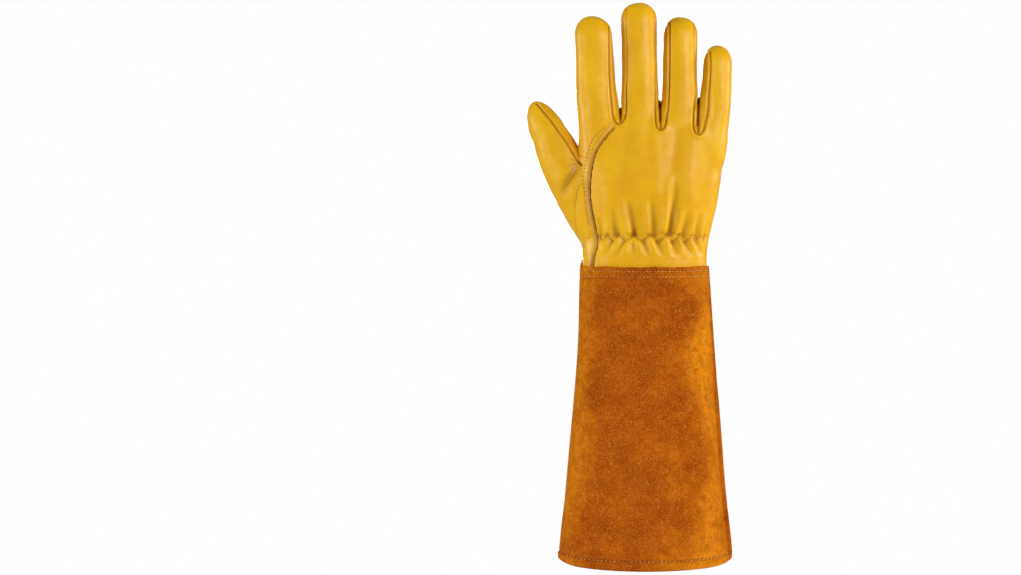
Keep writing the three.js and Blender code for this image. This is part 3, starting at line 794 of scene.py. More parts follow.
@cache
def hand_surface():
    """The hand's plain surface, finer near seams and gathers and finest on the back seam's low side, with its seams
    and creases. It is made once for all its pieces."""
    points, tris = surface_net(hand_distance, NET_LOW, NET_HIGH, NET_STEP)
    points, _ = settle(points, 2)
    points = relax(points, tris, 2)
    lines = seam_lines()
    creases = [(h, w, d, on_back(route)) for h, w, d, route in BACK_CREASES]
    creases += [(h, w, d, on_palm(route)) for h, w, d, route in PALM_CREASES]
    seams = [line for group in lines.values() for line in group]
    sharp = seams + [line for h, w, _, line in creases if w < 2]
    for reach in (3.6, 1.5):
        near = distance_to(points, sharp) < reach
        if reach > 2:
            near |= (points[:, 1] < -6) & (points[:, 2] > 250) & (points[:, 2] < 294) & (points[:, 0] < 50)
        points, tris = refine(points, tris, near)
        points, _ = settle(points, 1)
    points, tris = refine(points, tris, (past_arc(points) > -0.6) & (distance_to(points, lines["arc"]) < 1.4))
    points, normals = settle(points, 2)
    return {"points": points, "normals": normals, "tris": tris, "lines": lines, "creases": creases}


# Depth of the turned seams' grooves under the stitches, the raw edges and the patch
UNDER_GROOVE = 1.2


def on_leather(points):
    """Points of the plain surface lifted by the relief, and their normals."""
    made = hand_surface()
    points, normals = settle(points, 2)
    height, _ = relief(
        points, seam_fields(points, made["lines"]), crease_fields(points, made["creases"]), UNDER_GROOVE)
    return points + normals * height[:, None], normals


# Meshes and pieces

def thicken(points, normals, tris, wall):
    """A closed wall: the surface, the same surface moved inwards and turned round, and a rim along open edges."""
    inner = points - normals * np.reshape(wall, (-1, 1))
    count = len(points)
    start, end = edges_of(tris).T
    open_edge = ~np.isin(start * count + end, end * count + start)
    a, b = start[open_edge], end[open_edge]
    sides = np.concatenate([np.stack([b, a, a + count], 1), np.stack([b, a + count, b + count], 1)])
    return np.concatenate([points, inner]), np.concatenate([tris, tris[:, ::-1] + count, sides])


def grid_faces(rows, columns, closed=False):
    """Two triangles for each cell of a grid whose points run along its rows; closed joins last column to first."""
    here = np.arange(rows * columns).reshape(rows, columns)
    beyond = np.roll(here, -1, axis=1)
    if not closed:
        here, beyond = here[:, :-1], beyond[:, :-1]
    a, b, c, d = here[:-1].ravel(), beyond[:-1].ravel(), beyond[1:].ravel(), here[1:].ravel()
    return np.concatenate([np.stack([a, b, c], 1), np.stack([a, c, d], 1)])


def make_piece(name, points, tris, finish, slot, nodes=(), attributes=None):
    """One object from points in millimetres, shaded smooth, riding on the glove's one body."""
    mesh = bpy.data.meshes.new(name)
    mesh.vertices.add(len(points))
    mesh.vertices.foreach_set("co", (points * MM).astype(np.float32).ravel())
    mesh.loops.add(tris.size)
    mesh.loops.foreach_set("vertex_index", tris.astype(np.int32).ravel())
    mesh.polygons.add(len(tris))
    mesh.polygons.foreach_set("loop_start", np.arange(0, tris.size, 3, dtype=np.int32))
    mesh.update(calc_edges=True)
    mesh.validate()
    mesh.shade_smooth()
    for label, values in (attributes or {}).items():
        mesh.attributes.new(label, "FLOAT", "POINT").data.foreach_set("value", values.astype(np.float32))
    mesh.materials.append(material(finish))
    piece = bpy.data.objects.new(name, mesh)
    bpy.context.scene.collection.objects.link(piece)
    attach(piece, "root")
    if nodes:
        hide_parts(*nodes)


def leather_piece(name, node, surface, tris, wall, groove, palm_darkening=0.0, rise=0.0, shadow=0.0):
    """A piece of the hand: its relief, its wall, and as attributes its painted shade and the painted shade of the
    outer walls with the darker palm side. Rise is added to the relief's height, and shadow, a painted shadow, to its
    shade."""
    points, normals = surface["points"], unit(surface["normals"])
    height, shade = relief(points, surface, crease_fields(points, hand_surface()["creases"]), groove)
    # Painted shade on the outer fingers' walls, or the darker tone of the palm side where that is more
    dye = np.maximum(palm_darkening * ramp(points[:, 1], -4, 6), painted_wall_shade(points))
    solid, faces = thicken(points + normals * (height + rise)[:, None], normals, tris, wall)
    # The seam attribute is painted shade; the tone attribute is painted wall shade and the palm side's darker tone
    make_piece(name, solid, faces, "golden_leather", "grain_leather", [node],
               {"seam": np.tile(np.clip(shade + shadow, 0, 1), 2), "tone": np.tile(dye, 2)})


def strip(points, normals, profile):
    """A closed profile of (sideways, up) corners carried along a line, with its two ends closed to a point."""
    side = unit(np.cross(normals, unit(np.gradient(points, axis=0))))
    profile = np.array(profile, float)
    rows, columns = len(points), len(profile)
    size = ramp(np.minimum(np.arange(rows), np.arange(rows)[::-1]), -1, 3)
    ring = (points[:, None] + side[:, None] * (profile[None, :, :1] * size[:, None, None])
            + normals[:, None] * (profile[None, :, 1:] * size[:, None, None]))
    ends = ring[[0, -1]].mean(1)
    first, last = rows * columns, rows * columns + 1
    here = np.arange(columns)
    beyond = np.roll(here, -1)
    low = np.stack([np.full(columns, first), beyond, here], 1)
    high = np.stack([np.full(columns, last), here + (rows - 1) * columns, beyond + (rows - 1) * columns], 1)
    faces = np.concatenate([grid_faces(rows, columns, closed=True), low, high])
    return np.concatenate([ring.reshape(-1, 3), ends]), faces


def stitches(points, normals, pitch, length=2.1, width=0.62, rise=0.32):
    """A row of sewn threads: capsules a pitch apart, each radius * sqrt(1 - 0.9 u^2) thick and arched by
    rise * (1 - u^2) along its length u, on 5 rings of 6 points. Real thread is 0.4 mm thick; it is drawn a little
    coarser, so that it shows."""
    lengths = lengths_along(points)
    at = np.arange(pitch / 2, lengths[-1] - length / 2, pitch)

    def along(values, s):
        return np.stack([np.interp(s, lengths, column) for column in values.T], 1)

    middle, up = along(points, at), along(normals, at)
    run = unit(along(points, at + length / 2) - along(points, at - length / 2))
    side = np.cross(up, run)
    u = np.linspace(-1, 1, 5)[:, None]
    angle = np.arange(6) * np.pi / 3
    radius = width / 2 * np.sqrt(1 - 0.9 * u * u)
    reach = (u * length / 2 + 0 * angle)[..., None]
    aside = (radius * np.cos(angle))[..., None]
    over = (radius * np.sin(angle) + rise * (1 - u * u) - 0.08)[..., None]
    made = (middle[:, None, None] + run[:, None, None] * reach + side[:, None, None] * aside
            + up[:, None, None] * over)
    caps = [(0, j + 1, j) for j in range(1, 5)] + [(24, 24 + j, 25 + j) for j in range(1, 5)]
    one = np.concatenate([grid_faces(5, 6, closed=True), np.array(caps)])
    faces = one[None] + 30 * np.arange(len(at))[:, None, None]
    return made.reshape(-1, 3), faces.reshape(-1, 3)


def joined(parts):
    """Several meshes of points and triangles as one."""
    points, faces, start = [], [], 0
    for some, tris in parts:
        points.append(some)
        faces.append(tris + start)
        start += len(some)
    return np.concatenate(points), np.concatenate(faces)


def beside(route, distance):
    """A route of x and z moved sideways, to its left as it is walked."""
    route = walk(route)
    run = unit(np.gradient(route, axis=0))
    return route + distance * np.stack([-run[:, 1], run[:, 0]], 1)


# The cuff

CUFF_TOP, CUFF_TOP_SLANT = 245.6, 9.0
HEM_DEPTH = 7.8
HEM_STITCHES = HEM_DEPTH + 0.4
TOP_STITCHES = (3.6, 8.0)
CUFF_SQUARENESS = 2.45
# The share of the girth where the tube ends and its two layers lie flat on each other, and how far each stands out
LIP_START, LIP_HALF = 0.965, 1.75


def cuff_section(angle):
    """Across and out on a superellipse of size 1: the cosine and sine, each to the power 2 / squareness."""
    across, out = np.cos(angle), np.abs(np.sin(angle))
    return np.sign(across) * np.abs(across) ** (2 / CUFF_SQUARENESS), out ** (2 / CUFF_SQUARENESS)


def even_angles():
    """Angles round a section of the cuff's usual size against the share of its length, from the fold to the seam."""
    angle = np.linspace(0, np.pi, 721)
    across, out = cuff_section(angle)
    lengths = lengths_along(np.stack([62 * across, 29 * out], 1))
    return lengths / lengths[-1], angle


EVEN_LENGTH, EVEN_ANGLE = even_angles()


def cuff_surface(girth, height):
    """The cuff's outer face. Girth runs from -1, the back layer's sewn edge, through 0, the fold on the thumb side,
    to 1, the palm layer's sewn edge. The section is a superellipse whose last 1 to 4 mm lie flat against each other,
    and the rows rise towards the hem's two ends and along the palm's top edge."""
    reach, palm = np.abs(girth), girth > 0
    lip = smooth(height, np.array([0.0, 34, 74, 122, 170, 218, 246]), np.array([3.4, 4, 4, 3.9, 2.6, 1.6, 1.2]))
    low = smooth(height, CUFF["z"], CUFF["thumb_edge"])
    high = smooth(height, CUFF["z"], CUFF["little_edge"])
    depth = smooth(height, CUFF["z"], CUFF["depth"]) / 2
    short = np.where(palm, smooth(height, SIDE_SEAM["z"], SIDE_SEAM["palm_short"]),
                     smooth(height, SIDE_SEAM["z"], SIDE_SEAM["back_short"]))
    short = np.minimum(short, lip - 0.7)
    across, out = cuff_section(np.interp(np.clip(reach / LIP_START, 0, 1), EVEN_LENGTH, EVEN_ANGLE))
    across = -across
    tube_edge = high - lip
    x = (low + tube_edge) / 2 + (tube_edge - low) / 2 * across
    x = x + np.clip((reach - LIP_START) / (1 - LIP_START), 0, 1) * (lip - short)
    y = np.where(out * depth > 0, np.sqrt((out * depth) ** 2 + LIP_HALF ** 2 * ramp(across, 0.2, 0.9)), 0)
    y = np.where(palm, y, -y)
    share = (x - (low + high) / 2) / ((high - low) / 2)
    hem = (2.6 + 5 * share ** 2 + 4 * share ** 12) * np.clip(1 - height / 53, 0, 1)
    near_top = np.clip((height - 170) / (CUFF_TOP - 170), 0, 1)
    slant = CUFF_TOP_SLANT * near_top * ramp(y / depth, 0.12, 0.6) * (0.5 - share / 2)
    bow = -1.1 * near_top * (1 - share ** 2) * np.clip(-y / depth * 1.6, 0, 1)
    bow = bow + near_top ** 4 * (0.25 * np.sin(girth * 21 + 0.6) + 0.18 * np.sin(girth * 43))
    return np.stack([x, y, height + hem + slant + bow], -1)


def cuff_normals(girth, height):
    """Outward normals of the cuff, from small steps along its girth and its height."""
    step = 1e-3
    side = cuff_surface(np.minimum(girth + step, 1), height) - cuff_surface(np.maximum(girth - step, -1), height)
    rise = cuff_surface(girth, np.minimum(height + 0.2, CUFF_TOP)) - cuff_surface(girth, np.maximum(height - 0.2, 0))
    normal = np.cross(rise, side)
    return normal / np.maximum(np.linalg.norm(normal, axis=-1), 1e-9)[..., None]


def stitch_rows(height, width):
    """A bell across each of the two rows of stitches at the cuff's top."""
    return sum(hump(CUFF_TOP - height - below, width) for below in TOP_STITCHES)


def cuff_relief(girth, height):
    """Height over the plain cuff: the turned hem's fullness with a furrow at its stitches, a rounded lower edge, and
    the slow waves of a sheet of suede."""
    hem = 0.75 * ramp(-height, -HEM_DEPTH - 1.4, -HEM_DEPTH + 1)
    furrow = -0.6 * hump(height - HEM_STITCHES, 0.8)
    edge = -1.3 * (1 - np.sqrt(np.clip(1 - (1 - np.clip(height / 1.6, 0, 1)) ** 2, 0, 1)))
    rows = -0.25 * stitch_rows(height, 0.8)
    waves = 0.55 * np.sin(girth * 9 + height * 0.021 + 1) + 0.35 * np.sin(girth * 17 - height * 0.043)
    waves = waves * ramp(height, 10, 60) * ramp(-height, -240, -190) * ramp(1 - np.abs(girth), 0.02, 0.14)
    return hem + furrow + edge + rows + waves


def painted_cuff_sheen_and_bands(points):
    """How much paler the suede is painted: a painted sheen in bells across the cuff near its two edges, stronger on
    the right, which waver with height; a narrow pale band along the hem and a wide one at the top; and the middle of
    the cuff darker, under 0."""
    x, _, z = np.moveaxis(points, -1, 0)
    low, high = smooth(z, CUFF["z"], CUFF["thumb_edge"]), smooth(z, CUFF["z"], CUFF["little_edge"])
    share = (2 * x - low - high) / (high - low)
    right = 1.1 * hump(share - 0.84 + 0.08 * np.sin(z * 0.05), 0.2) * (0.45 + 0.55 * hump(z - 165, 52))
    right = right + 0.22 * hump(share - 0.6, 0.4) * ramp(-z, -130, -60)
    left = 0.72 * hump(share + 1, 0.2) * ramp(z, 8, 60)
    middle = -0.45 * hump(share + 0.22 + 0.1 * np.sin(z * 0.04), 0.34)
    return right + left + middle + 0.42 * hump(z - 6, 8) + 0.22 * hump(z - 248, 24)


def on_cuff(girth, height):
    """Points on the cuff's finished face and their normals."""
    normals = cuff_normals(girth, height)
    return cuff_surface(girth, height) + normals * cuff_relief(girth, height)[..., None], normals


# Materials

def add(tree, kind, sockets=None, **settings):
    """One node with its settings; a socket's value is a number, a colour or another node's output."""
    node = tree.nodes.new(kind)
    for name, value in settings.items():
        setattr(node, name, value)
    for key, value in (sockets or {}).items():
        if isinstance(value, bpy.types.NodeSocket):
            tree.links.new(value, node.inputs[key])
        else:
            node.inputs[key].default_value = value
    return node


def four(colour):
    """A colour with full alpha."""
    return (*colour[:3], 1.0)


def golden_leather(tree, colours):
    """Grain leather: cowhide dyed golden yellow, drummed soft and lightly finished. It gives a broad soft highlight,
    fine pores and slow cloudy changes of tone, and painted shade where it is folded into a seam, a slit, a crease or
    a furrow and on the outer fingers' thumb-side walls; the set-in fronts are darker on the palm side."""
    place = add(tree, "ShaderNodeTexCoord").outputs["Object"]
    # The seam attribute holds painted shade, the tone attribute painted wall shade and the palm side's darker tone
    seam = add(tree, "ShaderNodeAttribute", attribute_name="seam").outputs["Fac"]
    tone = add(tree, "ShaderNodeAttribute", attribute_name="tone").outputs["Fac"]
    # Clouds of tone about 34 mm wide, and patches about 7 mm wide
    wide = add(tree, "ShaderNodeTexNoise", {
        "Vector": place, "Scale": 1 / (34 * MM), "Detail": 3.0, "Roughness": 0.55})
    clouds = add(tree, "ShaderNodeMapRange", {0: wide.outputs[0], 1: 0.36, 2: 0.64})
    small = add(tree, "ShaderNodeTexNoise", {"Vector": place, "Scale": 1 / (7 * MM), "Detail": 4.0, "Roughness": 0.6})
    patches = add(tree, "ShaderNodeMapRange", {0: small.outputs[0], 1: 0.35, 2: 0.68, 4: 0.32})
    colour = four(colours.grain)
    # The last two blends are painted shade: an orange for shaded walls and light bounced between the fingers, and a
    # dark brown for seams, slits, creases and furrows
    for share, over in (
            (clouds.outputs[0], colours.grain_pale), (patches.outputs[0], linear("#d8960a")),
            (tone, linear("#cc7c08")), (seam, colours.painted_shade_colour)):
        colour = add(tree, "ShaderNodeMix", {0: share, 6: colour, 7: four(over)}, data_type="RGBA").outputs[2]
    # Pores are 0.5 mm apart on the hide; they are drawn 1.3 mm apart, so that they show.
    pores = add(tree, "ShaderNodeTexVoronoi", {"Vector": place, "Scale": 1 / (1.3 * MM)}, feature="SMOOTH_F1")
    creases = add(tree, "ShaderNodeTexNoise", {
        "Vector": place, "Scale": 1 / (3.2 * MM), "Detail": 5.0, "Roughness": 0.62})
    height = add(tree, "ShaderNodeMath", {
        0: pores.outputs["Distance"], 1: 0.35, 2: creases.outputs[0]}, operation="MULTIPLY_ADD")
    bump = add(tree, "ShaderNodeBump", {"Strength": 0.22, "Distance": 0.6 * MM, "Height": height.outputs[0]})
    rough = add(tree, "ShaderNodeMapRange", {0: patches.outputs[0], 2: 0.32, 3: 0.36, 4: 0.44})
    add_surface(tree, colour, rough.outputs[0], bump.outputs[0], {"IOR": 1.5, "Specular IOR Level": 0.27})


def cut_leather_edge(tree, colours):
    """Raw leather edge: the cut side of the hide, undyed inside. It gives a pale tan, matt and a little fuzzy. Its
    fibres are 0.1 mm thick; they are drawn as flecks of 1.6 mm, so that they show."""
    place = add(tree, "ShaderNodeTexCoord").outputs["Object"]
    noise = add(tree, "ShaderNodeTexNoise", {
        "Vector": place, "Scale": 1 / (1.6 * MM), "Detail": 4.0, "Roughness": 0.65})
    fibres = add(tree, "ShaderNodeMapRange", {0: noise.outputs[0], 1: 0.35, 2: 0.66})
    colour = add(tree, "ShaderNodeMix", {
        0: fibres.outputs[0], 6: four(linear("#d89c48")), 7: four(colours.raw_edge)}, data_type="RGBA")
    bump = add(tree, "ShaderNodeBump", {"Strength": 0.5, "Distance": 0.4 * MM, "Height": fibres.outputs[0]})
    add_surface(tree, colour.outputs[2], 0.85, bump.outputs[0], {"IOR": 1.45, "Specular IOR Level": 0.3})


def napped_suede(tree, colours):
    """Split suede: the flesh side brushed up into a nap. It gives a matt, mottled orange brown, with paler streaks
    where the nap lies over, a painted sheen near the cuff's two edges, painted shade in its stitch furrows and a soft
    bright rim."""
    place = add(tree, "ShaderNodeTexCoord").outputs["Object"]
    # The seam attribute holds painted shade in the stitch furrows; the worn attribute holds painted sheen near the
    # cuff's edges, a darker middle and paler bands at the hem and top
    seam = add(tree, "ShaderNodeAttribute", attribute_name="seam").outputs["Fac"]
    worn = add(tree, "ShaderNodeAttribute", attribute_name="worn").outputs["Fac"]
    # Clouds of tone about 30 mm wide, mottling of 6 mm, and flecks of nap
    wide = add(tree, "ShaderNodeTexNoise", {
        "Vector": place, "Scale": 1 / (30 * MM), "Detail": 5.0, "Roughness": 0.62})
    clouds = add(tree, "ShaderNodeMapRange", {0: wide.outputs[0], 1: 0.35, 2: 0.64})
    small = add(tree, "ShaderNodeTexNoise", {
        "Vector": place, "Scale": 1 / (6 * MM), "Detail": 6.0, "Roughness": 0.75})
    mottle = add(tree, "ShaderNodeMapRange", {0: small.outputs[0], 1: 0.4, 2: 0.66, 4: 0.55})
    # The nap's fibres are 0.1 mm thick; they are drawn as flecks of 1.1 mm, and as pale curls along the middle level
    # of a noise of 3.4 mm, so that they show.
    fine = add(tree, "ShaderNodeTexNoise", {
        "Vector": place, "Scale": 1 / (1.1 * MM), "Detail": 3.0, "Roughness": 0.7, "Distortion": 1.5})
    dark_flecks = add(tree, "ShaderNodeMapRange", {0: fine.outputs[0], 1: 0.5, 2: 0.34, 4: 0.6})
    curls = add(tree, "ShaderNodeTexNoise", {
        "Vector": place, "Scale": 1 / (3.4 * MM), "Detail": 1.0, "Roughness": 0.4, "Distortion": 2.5})
    level = add(tree, "ShaderNodeMath", {0: curls.outputs[0], 1: 0.5, 2: 0.0}, operation="SUBTRACT")
    apart = add(tree, "ShaderNodeMath", {0: level.outputs[0]}, operation="ABSOLUTE")
    thin = add(tree, "ShaderNodeMapRange", {0: apart.outputs[0], 1: 0.05, 2: 0.0})
    broken = add(tree, "ShaderNodeMapRange", {0: fine.outputs[0], 1: 0.42, 2: 0.62, 4: 0.95})
    pale_flecks = add(tree, "ShaderNodeMath", {0: thin.outputs[0], 1: broken.outputs[0]}, operation="MULTIPLY")
    # The clouds and the painted sheen decide how far the suede turns pale
    brushed = add(tree, "ShaderNodeMath", {0: clouds.outputs[0], 1: 0.45, 2: worn}, operation="MULTIPLY_ADD")
    paler_share_and_sheen = add(tree, "ShaderNodeMapRange", {0: brushed.outputs[0], 1: 0.25, 2: 1.3})
    # The last blend is painted shade in the stitch furrows
    colour = four(linear("#a24805"))
    for share, over in (
            (clouds.outputs[0], colours.suede), (paler_share_and_sheen.outputs[0], colours.suede_pale_and_sheen),
            (mottle.outputs[0], linear("#8a3a04")), (dark_flecks.outputs[0], linear("#6e2c02")),
            (pale_flecks.outputs[0], linear("#e8953a")), (seam, linear("#5e2604"))):
        colour = add(tree, "ShaderNodeMix", {0: share, 6: colour, 7: four(over)}, data_type="RGBA").outputs[2]
    height = add(tree, "ShaderNodeMath", {0: fine.outputs[0], 1: 1.5, 2: small.outputs[0]}, operation="MULTIPLY_ADD")
    bump = add(tree, "ShaderNodeBump", {"Strength": 0.55, "Distance": 0.9 * MM, "Height": height.outputs[0]})
    add_surface(tree, colour, 0.95, bump.outputs[0], {
        "IOR": 1.4, "Specular IOR Level": 0.05, "Sheen Weight": 0.5, "Sheen Roughness": 0.3,
        "Sheen Tint": four(linear("#ff9a1c"))})


def waxed_thread(tree, colours):
    """Waxed thread: twisted polyester in a cream that has taken up some dye. It gives small bright dashes."""
    add_thread(tree, four(linear("#bb6a1c")), four(colours.thread), 8 * MM)


def sunken_thread(tree, colours):
    """Thread: twisted polyester pulled down into the soft hide, painted dark for the shade of its needle holes. It
    gives small dark dashes in their holes.
    """
    add_thread(tree, four(linear("#94590a")), four(linear("#d09a28")), 5 * MM)


def add_thread(tree, low, high, size):
    """The two thread finishes: one colour where the thread is clean and one where fibres or dye cover it, in patches
    of the given size."""
    place = add(tree, "ShaderNodeTexCoord").outputs["Object"]
    noise = add(tree, "ShaderNodeTexNoise", {"Vector": place, "Scale": 1 / size, "Detail": 3.0, "Roughness": 0.6})
    twist = add(tree, "ShaderNodeMapRange", {0: noise.outputs[0], 1: 0.4, 2: 0.6})
    colour = add(tree, "ShaderNodeMix", {0: twist.outputs[0], 6: low, 7: high}, data_type="RGBA")
    bump = add(tree, "ShaderNodeBump", {"Strength": 0.4, "Distance": 0.2 * MM, "Height": twist.outputs[0]})
    add_surface(tree, colour.outputs[2], 0.6, bump.outputs[0], {"IOR": 1.5, "Specular IOR Level": 0.4})


def add_surface(tree, colour, rough, bump, settings):
    """The shader and the output that every finish ends in."""
    shader = add(tree, "ShaderNodeBsdfPrincipled", {
        "Base Color": colour, "Roughness": rough, "Normal": bump, **settings})
    add(tree, "ShaderNodeOutputMaterial", {"Surface": shader.outputs[0]})


FINISHES = {finish.__name__: finish
            for finish in (golden_leather, cut_leather_edge, napped_suede, waxed_thread, sunken_thread)}


def material(name):
    """The named finish, made on its first use."""
    if name not in bpy.data.materials:
        made = bpy.data.materials.new(name)
        made.use_nodes = True
        made.node_tree.nodes.clear()
        FINISHES[name](made.node_tree, bpy.context.scene.glove_colours)
    return bpy.data.materials[name]


# Operators

# Height of the hand leather's hidden end inside the cuff, and the thickness of the patch
WRIST_END, PATCH_WALL = 233, 0.9


class GLOVE_OT_add_hand(bpy.types.Operator):
    """Makes the hand shell, the two set-in finger fronts and the thumb"""
    bl_idname = "glove.add_hand"
    bl_label = "Add hand"

    def execute(self, context):
        sizes = context.scene.glove_sizes
        wall, groove = sizes.hand_wall / MM, sizes.groove_depth / MM
        made = hand_surface()
        points, tris = made["points"], made["tris"]
        whole = {"points": points, "normals": made["normals"], **seam_fields(points, made["lines"])}
        for name, node, field, palm_darkening in (
                ("middle_front_leather", "middle_finger_front", "middle", 0.3),
                ("ring_front_leather", "ring_finger_front", "ring", 0.4), ("thumb_leather", "thumb", "thumb", 0.0)):
            leather_piece(name, node, *clip(whole, tris, whole[field]), wall, groove, palm_darkening)
        for field in ("middle", "ring", "thumb"):
            whole, tris = clip(whole, tris, -whole[field])
        whole, tris = clip(whole, tris, whole["points"][:, 2] - WRIST_END)
        leather_piece("hand_leather", "hand_shell", whole, tris, wall, groove)
        return {"FINISHED"}


class GLOVE_OT_add_patch(bpy.types.Operator):
    """Makes the crescent of extra leather beside the thumb's palm seam"""
    bl_idname = "glove.add_patch"
    bl_label = "Add thumb patch"

    def execute(self, context):
        made = hand_surface()
        outline = np.concatenate([walk(PATCH_EDGE), beside(THUMB_PALM_SEAM[2:10], 2.6)[::-1]])
        edge = on_palm(np.concatenate([outline, outline[:1]]), curved=False)
        points, normals, tris = made["points"], made["normals"], made["tris"]
        for _ in range(2):
            points, tris = refine(points, tris, distance_to(points, [edge]) < 2.4)
            points, normals = settle(points, 1)
        x, y, z = points.T
        apart = distance_to(points, [edge])
        side = np.where(within(x, z, outline) & (y > 4), apart, -apart)
        surface = {"points": points, "normals": normals, "edge": side, **seam_fields(points, made["lines"])}
        surface, tris = clip(surface, tris, side)
        # The patch swells from its edge, with a furrow at its stitches and a painted shadow along its edge
        edge = surface["edge"]
        rise = 0.35 + 0.75 * (1 - hump(np.maximum(edge, 0), 0.8)) - 0.35 * hump(edge - 2.4, 0.6)
        leather_piece("thumb_patch_leather", "thumb_patch", surface, tris, PATCH_WALL, UNDER_GROOVE,
                      rise=rise, shadow=0.35 * hump(edge, 0.5))
        return {"FINISHED"}


# The raised leather's cut edge: sideways from its middle line, and up
EDGE_PROFILE = [(-0.65, -0.9), (-0.65, 0.05), (-0.42, 0.32), (0, 0.42), (0.42, 0.32), (0.65, 0.05), (0.65, -0.9)]


class GLOVE_OT_add_edges(bpy.types.Operator):
    """Makes the raised raw edges of the two lapped seams"""
    bl_idname = "glove.add_edges"
    bl_label = "Add raw edges"

    def execute(self, context):
        for name, node, lay_on, route in (
                ("back_seam_edge", "back_seam_welt", on_back, beside(BACK_SEAM, -0.85)),
                ("thumb_seam_edge", "thumb_seam_welt", on_palm, beside(THUMB_PALM_SEAM[1:11], 0.7))):
            points, tris = strip(*on_leather(lay_on(route, curved=False, step=0.8)), EDGE_PROFILE)
            make_piece(name, points, tris, "cut_leather_edge", "raw_leather_edge", [node])
        return {"FINISHED"}


class GLOVE_OT_add_cuff(bpy.types.Operator):
    """Makes the suede cuff, from the back layer's sewn edge round to the palm layer's"""
    bl_idname = "glove.add_cuff"
    bl_label = "Add cuff"

    def execute(self, context):
        wall = context.scene.glove_sizes.cuff_wall / MM
        # Rows closer together at the hem
        heights = np.concatenate([np.linspace(0, 13, 22)[:-1], np.linspace(13, CUFF_TOP, 140)])
        girth, height = np.meshgrid(np.linspace(-1, 1, 225), heights)
        points, normals = on_cuff(girth, height)
        tris = grid_faces(*girth.shape)
        if np.cross(points[0, 1] - points[0, 0], points[1, 0] - points[0, 0]) @ normals[0, 0] < 0:
            tris = tris[:, ::-1]
        folded = wall * (1 + 0.8 * ramp(-height, -HEM_DEPTH - 0.6, -HEM_DEPTH + 0.6))
        # Painted shade in the hem's stitch furrow and along the two top rows of stitches, kept as the seam attribute;
        # the worn attribute keeps the painted sheen near the edges
        dark = np.clip(0.5 * hump(height - HEM_STITCHES, 0.9) + 0.25 * stitch_rows(height, 0.8), 0, 1)
        solid, faces = thicken(points.reshape(-1, 3), normals.reshape(-1, 3), tris, folded.ravel())
        make_piece("cuff_suede", solid, faces, "napped_suede", "suede_cuff", ["gauntlet_cuff"],
                   {"seam": np.tile(dark.ravel(), 2), "worn": np.tile(painted_cuff_sheen_and_bands(points).ravel(), 2)})
        return {"FINISHED"}


class GLOVE_OT_add_stitches(bpy.types.Operator):
    """Makes every row of stitches that shows"""
    bl_idname = "glove.add_stitches"
    bl_label = "Add stitches"

    def execute(self, context):
        pitch = context.scene.glove_sizes.stitch_gap / MM
        # The hand's stitches, the gather stitches too, use thread painted dark for the shade of their needle holes
        thumb_rows = [on_palm(beside(THUMB_PALM_SEAM[2:11], d), curved=False) for d in (3.0, 4.6)]
        for name, lines in (("back_seam_stitches", [on_back(BACK_STITCHES)]), ("thumb_seam_stitches", thumb_rows)):
            parts = [stitches(*on_leather(line), pitch) for line in lines]
            make_piece(name, *joined(parts), "sunken_thread", "grain_leather")
        x = np.linspace(CUSPS["x"][0], CUSPS["x"][-1], 400)
        line = on_back(np.stack([x, scallops(x)], 1), curved=False)
        row = stitches(*on_leather(line), pitch=2.0, length=1.3, width=0.4, rise=0.05)
        make_piece("gather_stitches", *row, "sunken_thread", "grain_leather")
        girth = np.linspace(-0.985, 0.985, 1200)
        for name, heights, share in (
                ("cuff_top_stitches", [CUFF_TOP - below for below in TOP_STITCHES], 0.95),
                ("hem_stitches", [HEM_STITCHES], 1.1)):
            parts = [stitches(*on_cuff(girth, np.full(1200, height)), pitch * share) for height in heights]
            make_piece(name, *joined(parts), "waxed_thread", "suede_cuff")
        return {"FINISHED"}


IMAGE_WIDTH, IMAGE_HEIGHT = 1021, 575
MM_PER_PIXEL = 0.8
GLOVE_AXIS_PIXEL, HEM_PIXEL = 644.5, 573
CAMERA_AWAY = 4.0
FLOOR_HALF, FLOOR_LEVEL = 0.8, -0.06
STUDIO_LIGHT = 0.16
# Name, place in metres, power in watts and size of the lamps, which point at the glove's middle
LIGHTS = [
    ("right_light", (1.75, -2.75, 1.6), 66.0, 1.0),
    ("left_light", (-2.2, -2.4, 0.9), 19.0, 0.7),
    ("right_rim", (2.7, -0.3, 0.7), 40.0, 0.8),
    ("left_rim", (-2.7, -0.3, 0.7), 35.0, 0.8),
    ("palm_light", (-0.35, 3.3, 0.5), 72.0, 0.7),
]


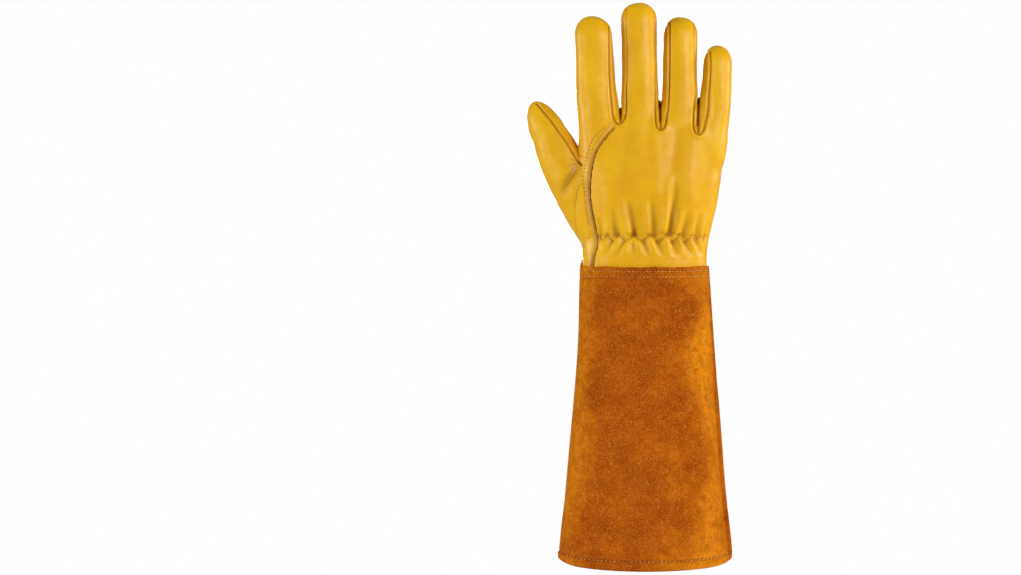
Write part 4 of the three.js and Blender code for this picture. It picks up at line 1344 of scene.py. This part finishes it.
class GLOVE_OT_add_stage(bpy.types.Operator):
    """Makes the white floor and backdrop, the lights and the camera"""
    bl_idname = "glove.add_stage"
    bl_label = "Add stage"

    def execute(self, context):
        scene = context.scene
        scene.view_settings.view_transform = "Standard"
        world = bpy.data.worlds.new("studio")
        scene.world = world
        world.use_nodes = True
        # Seen by itself the backdrop is white; the light that it gives is softer.
        seen = add(world.node_tree, "ShaderNodeLightPath").outputs["Is Camera Ray"]
        level = add(world.node_tree, "ShaderNodeMapRange", {0: seen, 3: STUDIO_LIGHT, 4: 1.0}).outputs[0]
        world.node_tree.links.new(level, world.node_tree.nodes["Background"].inputs["Strength"])
        world.node_tree.nodes["Background"].inputs["Color"].default_value = (1, 1, 1, 1)
        floor = bpy.data.meshes.new("floor")
        corners = [(-1, -1), (1, -1), (1, 1), (-1, 1)]
        floor.from_pydata([(FLOOR_HALF * x, FLOOR_HALF * y, FLOOR_LEVEL) for x, y in corners], [], [(0, 1, 2, 3)])
        paper = bpy.data.materials.new("white_paper")
        paper.use_nodes = True
        paper.node_tree.nodes["Principled BSDF"].inputs["Base Color"].default_value = (0.9, 0.9, 0.9, 1)
        paper.node_tree.nodes["Principled BSDF"].inputs["Roughness"].default_value = 0.9
        floor.materials.append(paper)
        ground = bpy.data.objects.new("floor", floor)
        scene.collection.objects.link(ground)
        for name, place, power, size in LIGHTS:
            lamp = bpy.data.lights.new(name, "AREA")
            lamp.energy = power
            lamp.size = size
            light = bpy.data.objects.new(name, lamp)
            light.location = place
            light.rotation_euler = (Vector((0, 0, 0.25)) - Vector(place)).to_track_quat("-Z", "Y").to_euler()
            scene.collection.objects.link(light)
        lens = bpy.data.cameras.new("camera")
        camera = bpy.data.objects.new("camera", lens)
        scene.collection.objects.link(camera)
        centre_x = (IMAGE_WIDTH / 2 - GLOVE_AXIS_PIXEL) * MM_PER_PIXEL * MM
        centre_z = (HEM_PIXEL - IMAGE_HEIGHT / 2) * MM_PER_PIXEL * MM
        camera.location = (centre_x, -CAMERA_AWAY, centre_z)
        camera.rotation_euler = (math.radians(90), 0, 0)
        lens.sensor_width = 36
        lens.lens = 36 * CAMERA_AWAY / (IMAGE_WIDTH * MM_PER_PIXEL * MM)
        lens.clip_end = 40
        scene.camera = camera
        return {"FINISHED"}


OPERATORS = (GLOVE_OT_add_hand, GLOVE_OT_add_patch, GLOVE_OT_add_edges, GLOVE_OT_add_cuff, GLOVE_OT_add_stitches,
             GLOVE_OT_add_stage)


class GLOVE_PT_panel(bpy.types.Panel):
    """Sizes, colours and operators of the glove"""
    bl_idname = "GLOVE_PT_panel"
    bl_label = "Gardening glove"
    bl_space_type = "VIEW_3D"
    bl_region_type = "UI"
    bl_category = "Glove"

    def draw(self, context):
        for group in (context.scene.glove_sizes, context.scene.glove_colours):
            for name in group.__annotations__:
                self.layout.prop(group, name)
        for operator in OPERATORS:
            self.layout.operator(operator.bl_idname)


CLASSES = (GloveSizes, GloveColours, *OPERATORS, GLOVE_PT_panel)


def register():
    for one in CLASSES:
        bpy.utils.register_class(one)
    bpy.types.Scene.glove_sizes = PointerProperty(type=GloveSizes)
    bpy.types.Scene.glove_colours = PointerProperty(type=GloveColours)


def unregister():
    del bpy.types.Scene.glove_colours
    del bpy.types.Scene.glove_sizes
    for one in reversed(CLASSES):
        bpy.utils.unregister_class(one)


def main():
    """Adds every piece and the stage."""
    register()
    bpy.ops.glove.add_hand()
    bpy.ops.glove.add_patch()
    bpy.ops.glove.add_edges()
    bpy.ops.glove.add_cuff()
    bpy.ops.glove.add_stitches()
    bpy.ops.glove.add_stage()


if __name__ == "__main__":
    main()
